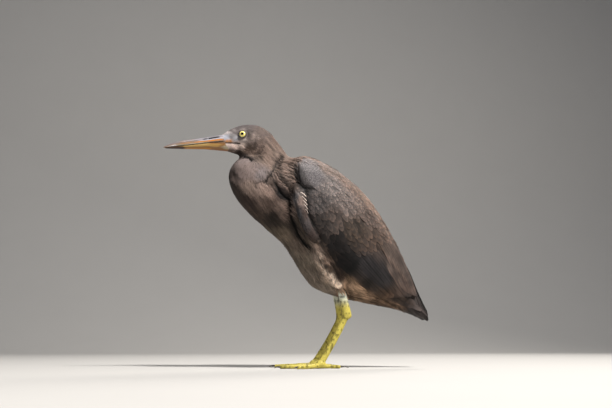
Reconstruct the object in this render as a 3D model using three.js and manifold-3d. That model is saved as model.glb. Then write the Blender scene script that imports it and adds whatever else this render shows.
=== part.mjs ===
// A reef heron standing with its neck drawn in: a life-size display model in millimetres, +Z up.
// The bird faces -X and is symmetric about the XZ plane. Its left side is the -Y side.
// Every mesh is one closed solid. Neighbours meet with a clearance of GAP.
import * as THREE from "three";
import { mergeVertices } from "three/addons/utils/BufferGeometryUtils.js";
import Module from "manifold-3d";

const wasm = await Module();
wasm.setup();

// ---------- driving dimensions ----------
const GAP = 0.3; // clearance between touching solids
const BIG = 900; // larger than the bird: the size of a cutting block

const EYE = { x: -93.5, y: 10.2, z: 325.3, radius: 6.4 };

const THIGH_SPLAY = 11; // degrees by which each thigh leans in towards its leg
const ANKLE = { x: 55, y: 18, z: 72 };
// The foot's middle. The reach is how far out the toes are one piece with it.
const FOOT = { x: 17, y: 22, z: 8.5, padRadius: 7.2, reach: 14.5 };
const TIBIA_RADIUS = { top: 5.6, ankle: 7.4 };
const TARSUS_RADIUS = { top: 5.2, middle: 4.0, foot: 4.6 };

// Each toe: heading in degrees from straight ahead (outwards is positive), length without the claw,
// radius at the root, number of joints that swell, and the length of its claw.
const TOES = {
  inner: { heading: -21, length: 40, radius: 3.5, joints: 2, claw: 8.5 },
  middle: { heading: 6, length: 56, radius: 3.7, joints: 3, claw: 9 },
  outer: { heading: 38, length: 46, radius: 3.4, joints: 3, claw: 7.5 },
  hind: { heading: 172, length: 27, radius: 3.5, joints: 1, claw: 11.5 },
};
const TOE_CENTRE = 2.7; // height of a toe's centreline, less than its radius, so the toe has a flat under it

// Stations of a loft: [top x, top z, bottom x, bottom z, half width, share by which the upper half is wider].
// Each section lies in the plane of its top-to-bottom line and Y.
const HEAD = [
  [-126.5, 325.5, -125.5, 307.0, 7.4, 0.0],
  [-120.5, 330.0, -118.0, 303.0, 8.8, 0.0],
  [-112.0, 336.6, -108.5, 300.0, 10.6, 0.0],
  [-102.0, 341.6, -99.0, 297.4, 12.4, 0.0],
  [-88.0, 345.0, -90.0, 295.5, 16.2, 0.05],
  [-72.5, 344.6, -82.0, 293.0, 19.0, 0.05],
  [-57.8, 338.3, -78.0, 286.0, 20.5, 0.0],
  [-44.8, 326.6, -76.0, 276.0, 22.5, 0.0],
  [-33.8, 313.6, -76.0, 264.0, 25.5, 0.0],
  [-24.0, 299.0, -66.0, 246.0, 27.0, 0.0],
];

// The trunk, from the front of the folded neck to the coverts under the tail.
const TRUNK = [
  [-101.0, 292.5, -110.0, 282.0, 9.0, 0.0],
  [-88.0, 297.5, -114.6, 270.0, 19.5, 0.0],
  [-73.0, 298.5, -113.0, 255.5, 25.0, 0.0],
  [-52.0, 295.0, -105.5, 237.5, 29.0, 0.0],
  [-31.0, 296.0, -93.5, 221.5, 33.5, 0.05],
  [-10.0, 302.0, -78.0, 205.5, 38.5, 0.1],
  [16.0, 296.0, -58.0, 188.0, 42.0, 0.1],
  [45.0, 278.0, -35.0, 169.5, 44.0, 0.05],
  [80.0, 249.5, -18.0, 143.5, 43.5, 0.0],
  [102.0, 219.0, 3.0, 111.5, 39.5, -0.05],
  [116.0, 190.0, 31.0, 98.5, 32.5, -0.1],
  [126.0, 155.0, 72.0, 89.0, 24.0, -0.1],
  [132.0, 126.0, 100.0, 83.5, 17.5, -0.1],
  [142.0, 101.0, 124.0, 79.5, 12.5, 0.0],
  [150.0, 85.0, 144.0, 76.0, 7.0, 0.0],
];

// The outside of the folded wings, which lie over the trunk and the tail.
const WING_COVER = [
  [-28.0, 295.0, -92.0, 223.0, 30.0, 0.15],
  [-10.0, 303.0, -77.0, 207.5, 44.5, 0.15],
  [13.5, 297.2, -57.0, 189.5, 51.0, 0.12],
  [47.5, 280.2, -34.0, 170.0, 53.5, 0.1],
  [86.0, 248.8, -17.5, 144.0, 52.5, 0.05],
  [109.0, 218.8, 3.5, 113.5, 48.5, 0.0],
  [126.0, 190.5, 32.0, 99.5, 42.0, 0.0],
  [141.5, 159.5, 72.0, 92.0, 33.5, 0.0],
  [150.5, 137.0, 100.0, 85.0, 26.5, 0.0],
  [161.0, 108.0, 128.0, 78.0, 19.0, 0.0],
  [169.5, 88.0, 154.0, 71.0, 13.0, 0.0],
  [176.5, 74.0, 170.0, 67.0, 7.0, 0.0],
];

// The folded wing's edge seen from the side, from the wrist down its front and back along its lower edge.
const WING_EDGE = {
  wristTop: [-14, 306],
  wrist: [-17.5, 290],
  bow: [-22, 276],
  front: [-20, 262],
  frontBend: [-19, 246],
  notch: [-15, 236],
  handBend: [-10, 214],
  behindHand: [1, 196],
  tipBend: [8, 175],
  handTip: [17, 163],
  lowerFront: [40, 139],
  lowerMiddle: [72, 113],
  lowerRear: [118, 87],
  tip: [176, 62],
};
const BLANK = { rear: 40, front: 12, top: 340, depth: 80 }; // how far the block reaches past the folded wing
// The gap between the wings over the back.
const WING_TOP_INNER = { front: 21, rear: GAP / 2, frontX: -15, rearX: 105 };

// The wing's leading edge below the wrist: a rolled bar in front of the wing's panel.
const HAND_BAR = [
  [-21.0, -41.5, 250],
  [-20.0, -47.5, 232],
  [-15.5, -49.5, 210],
  [-8.5, -48.5, 190.5],
  [2.0, -44.5, 174],
  [8.0, -41.5, 167],
];
const HAND_HALF = { wide: 8.0, thick: 6.2 };

const TAIL = [
  [104.0, 137.0, 92.0, 123.0, 10.0, 0.0],
  [120.0, 119.0, 111.0, 108.0, 15.0, 0.0],
  [142.0, 98.5, 135.0, 89.5, 19.0, 0.0],
  [165.0, 78.0, 160.0, 71.0, 20.0, 0.0],
  [176.5, 67.5, 173.5, 64.0, 15.0, 0.0],
];
const TAIL_SQUARE = 0.55; // the tail's sections are flat, with full corners

const THIGH = [
  [10.0, 170.0, 0.0, 158.0, 7.0, 0.0],
  [27.0, 161.0, 1.0, 141.0, 14.0, 0.0],
  [38.0, 145.0, 12.0, 124.0, 14.5, 0.0],
  [47.0, 129.0, 26.0, 112.5, 11.5, 0.0],
  [52.5, 117.0, 36.0, 106.5, 8.6, 0.0],
  [55.0, 110.0, 41.5, 105.0, 7.2, 0.0],
];

// Upper and lower halves of the bill, from inside the face to the tip.
const BILL_UPPER = [
  [-104.0, 331.5, -104.0, 315.3, 8.4, -0.15],
  [-125.0, 326.8, -125.0, 315.3, 7.9, -0.2],
  [-145.0, 322.0, -145.0, 312.5, 6.2, -0.25],
  [-165.0, 318.0, -165.0, 309.5, 4.9, -0.3],
  [-184.0, 314.1, -184.0, 306.7, 3.5, -0.3],
  [-197.0, 309.4, -197.0, 304.9, 2.2, -0.3],
  [-204.5, 305.0, -204.5, 303.9, 0.7, 0.0],
];
const BILL_LOWER = [
  [-104.0, 315.0, -104.0, 299.2, 8.2, 0.15],
  [-124.0, 315.0, -124.0, 303.4, 7.6, 0.2],
  [-145.0, 312.2, -145.0, 304.6, 5.9, 0.25],
  [-165.0, 309.2, -165.0, 303.9, 4.5, 0.3],
  [-184.0, 306.4, -184.0, 303.3, 3.0, 0.3],
  [-196.0, 304.6, -196.0, 303.0, 1.8, 0.3],
  [-202.5, 303.7, -202.5, 302.9, 0.6, 0.0],
];

// Colours of the bare parts and the plumage.
const COLOURS = {
  plumage: { color: 0x6b5d56, roughness: 0.85 },
  wing: { color: 0x57504d, roughness: 0.8 },
  bill: { color: 0xa8824f, roughness: 0.45 },
  leg: { color: 0xb9b46a, roughness: 0.6 },
  claw: { color: 0x3b342c, roughness: 0.5 },
  eye: { color: 0xd8c63a, roughness: 0.1 },
};

// ---------- making and cutting solids ----------

/** A closed geometry from rings of points and a point at each end, split the same way on its two sides. */
function skinOver(rings, firstPole, lastPole) {
  const sides = rings[0].length;
  const positions = [...rings.flat(), firstPole, lastPole].flatMap((p) => [p.x, p.y, p.z]);
  const first = rings.length * sides;
  const last = first + 1;
  const faces = [];
  for (let j = 0; j < sides; j++) {
    const k = (j + 1) % sides;
    const onLeft = Math.cos((2 * Math.PI * k) / sides) < 0;
    faces.push(first, k, j);
    for (let i = 0; i + 1 < rings.length; i++) {
      const here = i * sides;
      const next = here + sides;
      if (onLeft) {
        faces.push(here + j, here + k, next + j);
        faces.push(here + k, next + k, next + j);
      } else {
        faces.push(here + j, here + k, next + k);
        faces.push(here + j, next + k, next + j);
      }
    }
    faces.push(last, (rings.length - 1) * sides + j, (rings.length - 1) * sides + k);
  }
  const geometry = new THREE.BufferGeometry();
  geometry.setAttribute("position", new THREE.Float32BufferAttribute(positions, 3));
  geometry.setIndex(faces);
  return facingOut(geometry);
}

/** Six times the signed volume that an indexed geometry's faces enclose. */
function signedVolume(geometry) {
  const at = geometry.getAttribute("position");
  const index = geometry.index.array;
  const [a, b, c] = [new THREE.Vector3(), new THREE.Vector3(), new THREE.Vector3()];
  let sum = 0;
  for (let i = 0; i < index.length; i += 3) {
    a.fromBufferAttribute(at, index[i]);
    b.fromBufferAttribute(at, index[i + 1]);
    c.fromBufferAttribute(at, index[i + 2]);
    sum += a.dot(b.cross(c));
  }
  return sum;
}

/** The same geometry with its faces turned round if they point inwards. */
function facingOut(geometry) {
  if (signedVolume(geometry) < 0) {
    const index = geometry.index.array;
    for (let i = 0; i < index.length; i += 3) {
      [index[i + 1], index[i + 2]] = [index[i + 2], index[i + 1]];
    }
  }
  return geometry;
}

const power = (value, exponent) => Math.sign(value) * Math.abs(value) ** exponent;

/** A loft through stations, grown outwards by `grow` on every side. */
function loft(stations, { rings, sides, grow = 0, square = 1 }) {
  const tops = new THREE.CatmullRomCurve3(stations.map(([x, z, , , half]) => new THREE.Vector3(x, half, z)));
  const lowPoints = stations.map(([, , x, z, , high]) => new THREE.Vector3(x, high, z));
  const bottoms = new THREE.CatmullRomCurve3(lowPoints);
  const made = [];
  for (let i = 0; i < rings; i++) {
    const top = tops.getPoint(i / (rings - 1));
    const bottom = bottoms.getPoint(i / (rings - 1));
    const half = top.y + grow;
    const high = bottom.y;
    top.y = bottom.y = 0;
    const middle = top.clone().add(bottom).multiplyScalar(0.5);
    const upwards = top.clone().sub(middle);
    upwards.setLength(upwards.length() + grow);
    const ring = [];
    for (let j = 0; j < sides; j++) {
      const angle = (2 * Math.PI * (j + 0.5)) / sides;
      const rise = power(Math.sin(angle), square);
      const out = power(Math.cos(angle), square) * half * (1 + high * rise);
      ring.push(middle.clone().addScaledVector(upwards, rise).add(new THREE.Vector3(0, out, 0)));
    }
    made.push(ring);
  }
  const centre = (ring) => ring.reduce((sum, p) => sum.add(p), new THREE.Vector3()).divideScalar(ring.length);
  const [c0, c1] = [centre(made[0]), centre(made[1])];
  const [cm, cn] = [centre(made[rings - 2]), centre(made[rings - 1])];
  const beyond = (from, to) => to.clone().addScaledVector(to.clone().sub(from).normalize(), grow);
  return skinOver(made, beyond(c1, c0), beyond(cm, cn));
}

/** A sweep along points. radii(t) gives the half sizes along `side` and across it. */
function sweep(points, radii, { rings, sides, side, grow = 0 }) {
  const path = new THREE.CatmullRomCurve3(points.map((p) => new THREE.Vector3(...p)));
  const made = [];
  for (let i = 0; i < rings; i++) {
    const t = i / (rings - 1);
    const centre = path.getPointAt(t);
    const along = path.getTangentAt(t);
    const aside = new THREE.Vector3(...side);
    const u = aside.addScaledVector(along, -along.dot(aside)).normalize();
    const v = new THREE.Vector3().crossVectors(along, u);
    const [a, b] = radii(t);
    const ring = [];
    for (let j = 0; j < sides; j++) {
      const angle = (2 * Math.PI * (j + 0.5)) / sides;
      ring.push(
        centre
          .clone()
          .addScaledVector(u, (a + grow) * Math.cos(angle))
          .addScaledVector(v, (b + grow) * Math.sin(angle)),
      );
    }
    made.push(ring);
  }
  const start = path.getPointAt(0).addScaledVector(path.getTangentAt(0), -grow);
  const end = path.getPointAt(1).addScaledVector(path.getTangentAt(1), grow);
  return skinOver(made, start, end);
}

/** A closed geometry as a solid that can be joined and cut. */
function solid(geometry) {
  const plain = geometry.clone();
  for (const name of ["normal", "uv"]) plain.deleteAttribute(name);
  const merged = mergeVertices(plain, 1e-4);
  return new wasm.Manifold(
    new wasm.Mesh({
      numProp: 3,
      vertProperties: new Float32Array(merged.attributes.position.array),
      triVerts: new Uint32Array(merged.index.array),
    }),
  );
}

/** The largest connected body of a solid, as a cut can leave slivers beside it. */
function largest(made) {
  return made.decompose().reduce((a, b) => (a.volume() > b.volume() ? a : b));
}

/** A solid back as a geometry. */
function geometryOf(made) {
  const mesh = made.getMesh();
  const geometry = new THREE.BufferGeometry();
  const flat = [];
  for (let i = 0; i < mesh.numVert; i++) {
    flat.push(...mesh.vertProperties.subarray(i * mesh.numProp, i * mesh.numProp + 3));
  }
  geometry.setAttribute("position", new THREE.Float32BufferAttribute(flat, 3));
  geometry.setIndex([...mesh.triVerts]);
  geometry.computeVertexNormals();
  return geometry;
}

/** A block that fills the side of a plane to which `normal` points. */
function halfSpace(point, normal) {
  const block = new THREE.BoxGeometry(BIG, BIG, BIG);
  block.translate(0, 0, BIG / 2);
  const turn = new THREE.Quaternion().setFromUnitVectors(
    new THREE.Vector3(0, 0, 1),
    new THREE.Vector3(...normal).normalize(),
  );
  block.applyQuaternion(turn);
  block.translate(...point);
  return solid(block);
}

/** Parts a solid along a line from (x0, z0) to (x1, z1), seen from the side, by a cut of GAP: its left and right. */
function partAlong(made, [x0, z0], [x1, z1]) {
  const normal = new THREE.Vector3(z1 - z0, 0, x0 - x1).normalize();
  const shifted = (by) => [x0 + normal.x * by, 0, z0 + normal.z * by];
  const right = made.intersect(halfSpace(shifted(GAP / 2), normal.toArray()));
  const left = made.intersect(halfSpace(shifted(-GAP / 2), normal.clone().negate().toArray()));
  return [largest(left), largest(right)];
}

/** The mirror image of a geometry on the other side of the XZ plane. */
function mirrored(geometry) {
  const other = geometry.clone();
  other.scale(1, -1, 1);
  facingOut(other);
  other.computeVertexNormals();
  return other;
}

// ---------- the sub-parts ----------
const heron = new THREE.Group();

function add(name, made, finish) {
  const geometry = made.isBufferGeometry ? made : geometryOf(largest(made));
  const material = new THREE.MeshStandardMaterial({ ...COLOURS[finish], metalness: 0 });
  const mesh = new THREE.Mesh(geometry, material);
  mesh.name = name;
  heron.add(mesh);
}

/** Adds a left-hand solid and its mirror image. */
function addPair(stem, made, finish) {
  const left = geometryOf(largest(made));
  add(`${stem}_left`, left, finish);
  add(`${stem}_right`, mirrored(left), finish);
}

const HEAD_LOFT = { rings: 17, sides: 16 };
const TRUNK_LOFT = { rings: 21, sides: 18 };
const COVER_LOFT = { rings: 16, sides: 18 };
const THIGH_LOFT = { rings: 7, sides: 10 };
const TAIL_LOFT = { rings: 6, sides: 12, square: TAIL_SQUARE };
const BILL_LOFT = { rings: 9, sides: 8 };

function eyeball(grow) {
  const ball = new THREE.SphereGeometry(EYE.radius + grow, 12, 8);
  ball.translate(EYE.x, -EYE.y, EYE.z);
  return solid(ball);
}

const mirroredSolid = (made) => solid(mirrored(geometryOf(made)));

// Legs. The bare shank runs from inside the thigh to the ankle, and the tarsus from there to the foot's pad.
function shank(grow) {
  const radii = (t) => {
    const swell = Math.exp(-(((t - 1) / 0.28) ** 2));
    const radius = TIBIA_RADIUS.top + (TIBIA_RADIUS.ankle - TIBIA_RADIUS.top) * swell;
    return [radius * 0.86, radius];
  };
  const path = [
    [42, -ANKLE.y - 0.8, 122],
    [47, -ANKLE.y - 0.5, 104],
    [ANKLE.x - 1.5, -ANKLE.y, ANKLE.z + 4],
    [ANKLE.x, -ANKLE.y, ANKLE.z - 5],
  ];
  return solid(sweep(path, radii, { rings: 6, sides: 8, side: [0, 1, 0], grow }));
}

function tarsus(grow) {
  const radii = (t) => {
    const knee = Math.exp(-((t / 0.16) ** 2));
    const foot = Math.exp(-(((t - 1) / 0.12) ** 2));
    const radius =
      TARSUS_RADIUS.middle +
      (TARSUS_RADIUS.top - TARSUS_RADIUS.middle) * knee +
      (TARSUS_RADIUS.foot - TARSUS_RADIUS.middle) * foot;
    return [radius * 0.88, radius];
  };
  const path = [
    [ANKLE.x - 0.5, -ANKLE.y, ANKLE.z + 1],
    [(ANKLE.x + FOOT.x) / 2 + 1.5, -(ANKLE.y + FOOT.y) / 2, (ANKLE.z + FOOT.z) / 2],
    [FOOT.x, -FOOT.y, FOOT.z - 1],
  ];
  return solid(sweep(path, radii, { rings: 6, sides: 8, side: [0, 1, 0], grow }));
}

/** The pad under the tarsus, where the toes meet. */
function footPad(grow) {
  const pad = new THREE.SphereGeometry(1, 8, 6);
  pad.scale(FOOT.padRadius + grow, FOOT.padRadius * 0.92 + grow, FOOT.padRadius * 0.85 + grow);
  pad.translate(FOOT.x - 1, -FOOT.y, FOOT.padRadius * 0.72);
  return solid(pad);
}

/** The ball round the pad inside which the toes' roots belong to the foot. */
function footBall(grow) {
  const ball = new THREE.SphereGeometry(FOOT.reach + grow, 12, 6);
  ball.translate(FOOT.x - 1, -FOOT.y, TOE_CENTRE);
  return solid(ball);
}

const overFloor = (made) => made.intersect(halfSpace([0, 0, 0], [0, 0, 1]));

/** Places along a toe: `along` from the middle of the pad, at a height. */
function toePoint(toe, along, height) {
  const heading = THREE.MathUtils.degToRad(toe.heading);
  return [FOOT.x - 1 - Math.cos(heading) * along, -FOOT.y - Math.sin(heading) * along, height];
}

function toeBody(toe, grow) {
  const radii = (t) => {
    const knuckles = 0.09 * Math.cos(2 * Math.PI * toe.joints * t);
    const radius = toe.radius * (1 - 0.34 * t) * (1 + knuckles);
    return [radius, radius * 0.97];
  };
  const path = [
    toePoint(toe, 2, TOE_CENTRE + 1.2),
    toePoint(toe, toe.length * 0.45, TOE_CENTRE),
    toePoint(toe, toe.length, TOE_CENTRE * 0.82),
  ];
  return solid(sweep(path, radii, { rings: 2 * toe.joints + 3, sides: 6, side: [0, 0, 1], grow }));
}

function claw(toe) {
  const radii = (t) => [1.75 * (1 - t) + 0.3, 1.25 * (1 - t) + 0.28];
  const path = [
    toePoint(toe, toe.length - 2.5, 2.3),
    toePoint(toe, toe.length + toe.claw * 0.45, 2.75),
    toePoint(toe, toe.length + toe.claw * 0.85, 1.7),
    toePoint(toe, toe.length + toe.claw, 0.6),
  ];
  return solid(sweep(path, radii, { rings: 4, sides: 6, side: [0, 0, 1] }));
}

function handBar(grow) {
  const radii = (t) => {
    const round = Math.sqrt(Math.max(0.06, 1 - Math.max(0, (t - 0.86) / 0.15) ** 2));
    const start = 0.55 + 0.45 * Math.min(1, t / 0.22);
    return [HAND_HALF.thick * round * start, HAND_HALF.wide * round * start];
  };
  return solid(sweep(HAND_BAR, radii, { rings: 10, sides: 8, side: [0, 1, 0], grow }));
}

/** A block under the folded wing's outline, on the bird's left side. */
function wingBlank() {
  const e = WING_EDGE;
  const outline = new THREE.Shape();
  outline.moveTo(...e.wrist);
  outline.quadraticCurveTo(...e.bow, ...e.front);
  outline.quadraticCurveTo(...e.frontBend, ...e.notch);
  outline.quadraticCurveTo(...e.handBend, ...e.behindHand);
  outline.quadraticCurveTo(...e.tipBend, ...e.handTip);
  outline.splineThru([e.lowerFront, e.lowerMiddle, e.lowerRear, e.tip].map((p) => new THREE.Vector2(...p)));
  outline.lineTo(e.tip[0] + BLANK.rear, e.tip[1]);
  outline.lineTo(e.tip[0] + BLANK.rear, BLANK.top);
  outline.lineTo(e.wrist[0] + BLANK.front, BLANK.top);
  outline.quadraticCurveTo(...e.wristTop, ...e.wrist);
  const settings = { depth: BLANK.depth, bevelEnabled: false, curveSegments: 3 };
  const block = new THREE.ExtrudeGeometry(outline, settings);
  block.rotateX(Math.PI / 2);
  const w = WING_TOP_INNER;
  const turn = new THREE.Vector3(w.front - w.rear, -(w.rearX - w.frontX), 0).normalize();
  const inner = halfSpace([w.rearX, -w.rear, 0], turn.toArray());
  return solid(block).intersect(inner).intersect(halfSpace([0, -w.rear, 0], [0, -1, 0]));
}

// The head runs down into the folded neck, and the fold runs back into the trunk. Thin cuts part both.
const headLoft = solid(loft(HEAD, HEAD_LOFT));
const trunkLoft = solid(loft(TRUNK, TRUNK_LOFT));
const eyes = eyeball(GAP).add(mirroredSolid(eyeball(GAP)));

function pairOf(made) {
  return made.add(mirroredSolid(made));
}

/** The left thigh, which leans in from the hip to the leg. */
function thigh(grow) {
  const geometry = loft(THIGH, { ...THIGH_LOFT, grow });
  const knee = THIGH.at(-1)[3];
  geometry.translate(0, 0, -knee);
  geometry.rotateX(THREE.MathUtils.degToRad(THIGH_SPLAY));
  geometry.translate(0, -ANKLE.y - 1, knee);
  return solid(geometry);
}

/** Two solids, the one that reaches higher first. */
function byHeight(pair) {
  return pair.sort((a, b) => b.boundingBox().max[2] - a.boundingBox().max[2]);
}

const tailGrown = solid(loft(TAIL, { ...TAIL_LOFT, grow: GAP }));
const headGrown = solid(loft(HEAD, { ...HEAD_LOFT, grow: GAP }));
const legsGrown = pairOf(thigh(GAP).add(shank(GAP)));
const body = trunkLoft.subtract(headGrown).subtract(legsGrown).subtract(tailGrown);

const NECK_ROOT = [[-26, 306], [-74, 196]];
const HEAD_BASE = [[-91, 296.5], [-42, 332]];
const NECK_MIDDLE = [[-124, 250], [-48, 262]];

const [headPiece, neckUpper] = byHeight(partAlong(headLoft.subtract(eyes), ...HEAD_BASE));
const [trunk, fold] = partAlong(body, ...NECK_ROOT).sort((a, b) => b.volume() - a.volume());
const [neckBend, neckBase] = byHeight(partAlong(fold, ...NECK_MIDDLE));

add("head", headPiece, "plumage");
add("neck_upper", neckUpper, "plumage");
add("neck_bend", neckBend, "plumage");
add("neck_base", neckBase, "plumage");
add("trunk", trunk, "plumage");

add("bill_upper", solid(loft(BILL_UPPER, BILL_LOFT)).subtract(headGrown), "bill");
add("bill_lower", solid(loft(BILL_LOWER, BILL_LOFT)).subtract(headGrown), "bill");
addPair("eye", eyeball(0), "eye");

const trunkGrown = solid(loft(TRUNK, { ...TRUNK_LOFT, grow: GAP }));
const handGrown = handBar(GAP);
const wing = solid(loft(WING_COVER, COVER_LOFT))
  .intersect(wingBlank())
  .subtract(trunkGrown)
  .subtract(headGrown)
  .subtract(tailGrown)
  .subtract(handGrown)
  .subtract(thigh(GAP));
addPair("wing", wing, "wing");
addPair("wing_hand", handBar(0).subtract(trunkGrown), "wing");
add("tail", solid(loft(TAIL, TAIL_LOFT)), "wing");

addPair("thigh", thigh(0), "plumage");
addPair("shank", shank(0).subtract(thigh(GAP)), "leg");
const allToes = Object.values(TOES).reduce((sum, toe) => sum.add(toeBody(toe, 0)), footPad(0));
const toeRoots = allToes.intersect(footBall(0));
addPair("tarsus", overFloor(tarsus(0).add(footPad(0)).add(toeRoots).subtract(shank(GAP))), "leg");
const footGrown = footBall(GAP).add(tarsus(GAP));
for (const [name, toe] of Object.entries(TOES)) {
  const body = overFloor(toeBody(toe, 0).subtract(footGrown));
  addPair(`toe_${name}`, body, "leg");
  addPair(`claw_${name}`, claw(toe).subtract(toeBody(toe, GAP)), "claw");
}

// The origin is on the floor under the middle of the bird's length.
const box = new THREE.Box3().setFromObject(heron);
const middle = box.getCenter(new THREE.Vector3());
heron.position.set(-middle.x, -middle.y, -box.min.z);

export default heron;
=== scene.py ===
"""The looks of a life-size reef heron that stands with its neck drawn in.

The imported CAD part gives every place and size. One skin replaces the nodes of flesh, and a coat of feather
vanes is planted on it. Stations along the bird are written in millimetres; everything built is in metres.
"""

import logging
import math
from collections.abc import Callable, Sequence
from dataclasses import dataclass, field, fields
from enum import Enum
from itertools import product

import bmesh
import bpy
import numpy as np
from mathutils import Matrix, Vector
from mathutils.bvhtree import BVHTree


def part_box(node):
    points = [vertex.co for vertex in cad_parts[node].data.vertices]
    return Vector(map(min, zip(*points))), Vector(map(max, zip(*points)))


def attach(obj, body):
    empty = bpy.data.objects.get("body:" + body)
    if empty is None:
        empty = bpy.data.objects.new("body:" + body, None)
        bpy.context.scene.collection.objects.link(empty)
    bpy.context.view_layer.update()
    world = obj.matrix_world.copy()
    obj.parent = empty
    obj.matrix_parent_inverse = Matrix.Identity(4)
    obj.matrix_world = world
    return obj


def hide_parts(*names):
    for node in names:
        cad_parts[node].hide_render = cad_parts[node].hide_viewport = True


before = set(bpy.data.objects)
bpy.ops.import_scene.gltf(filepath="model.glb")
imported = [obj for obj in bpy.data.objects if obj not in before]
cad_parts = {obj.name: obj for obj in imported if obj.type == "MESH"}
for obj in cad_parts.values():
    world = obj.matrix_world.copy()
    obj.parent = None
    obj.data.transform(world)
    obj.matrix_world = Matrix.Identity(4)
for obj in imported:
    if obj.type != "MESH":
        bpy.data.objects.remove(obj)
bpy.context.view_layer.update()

LOG = logging.getLogger("heron")
MM = 0.001
SEED = 7
SIDES = {"left": -1.0, "right": 1.0}
EYE_STATION = -93.5  # millimetres from the zero line, which runs under the bird's shoulders
EYE_LOW, EYE_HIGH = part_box("eye_left")
EYE_CENTRE = (EYE_LOW + EYE_HIGH) / 2
ZERO_X = EYE_CENTRE.x - EYE_STATION * MM

# short names for the types in the signatures; a draft is a mesh that is still being shaped
Array = np.ndarray
Triple = tuple[float, float, float]
Dice = np.random.Generator
Draft = bmesh.types.BMesh
Piece = bpy.types.Object
Material = bpy.types.Material
Group = bpy.types.NodeTree
Link = bpy.types.NodeSocket


def place(x: float, y: float, z: float) -> Vector:
    """A place in metres from its stations in millimetres: along the bird, to its right, and up."""
    return Vector((ZERO_X + x * MM, y * MM, z * MM))


def stations(points: Array) -> Array:
    """Places in metres as stations in millimetres, folded onto one side of the bird.

    Args:
        points: one place in each row.

    Returns:
        The station along the bird, the distance out from its middle, and the height of each.
    """
    folded = points / MM
    folded[:, 0] -= ZERO_X / MM
    folded[:, 1] = np.abs(folded[:, 1])
    return folded


def unit(vectors: Array) -> Array:
    """The vectors of the last axis at length one."""
    return vectors / np.maximum(np.linalg.norm(vectors, axis=-1, keepdims=True), 1e-12)


def smooth(value: Array, low: float, high: float) -> Array:
    """A share that rises smoothly from 0 at low to 1 at high."""
    t = np.clip((value - low) / (high - low), 0.0, 1.0)
    return t * t * (3.0 - 2.0 * t)


def segment_distance(points: Array, start: Triple, end: Triple) -> Array:
    """How far folded stations are from a straight line between two stations, in millimetres."""
    a, b = np.array(start, float), np.array(end, float)
    t = np.clip((points - a) @ (b - a) / ((b - a) @ (b - a)), 0, 1)
    return np.linalg.norm(points - a - t[:, None] * (b - a), axis=1)


def lattice_noise(points: Array) -> Array:
    """Smooth noise from 0 to 1, at points on a lattice whose spacing is one."""
    cell = np.floor(points).astype(int)
    part = points - cell
    part = part * part * (3 - 2 * part)
    total = np.zeros(len(points))
    for corner in product((0, 1), repeat=3):
        mixed = np.sin((cell + np.array(corner)) @ np.array([12.9898, 78.233, 37.719])) * 43758.5453
        total += np.prod(np.where(corner, part, 1 - part), axis=1) * (mixed - np.floor(mixed))
    return total


# ---------- how the plumage lies and what colour it is ----------


@dataclass(frozen=True)
class Guide:
    """Which way the feathers lie at one place, and how long they are there, in millimetres."""

    place: Triple
    way: Triple
    length: float


@dataclass(frozen=True)
class Mark:
    """The colour of skin and coat at one place, how far it reaches in millimetres, and how streaky it is.
    Some marks paint light and shade instead of the bird's own colour.
    """

    place: Triple
    colour: Triple
    reach: float
    streak: float


@dataclass(frozen=True)
class Seam:
    """A furrow where two masses of plumage meet, as a line seen from the side, in millimetres; its shade is
    painted into the colour of the skin and coat round it.
    """

    line: tuple[tuple[float, float], ...]
    half: float
    depth: float
    shade: float


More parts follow.
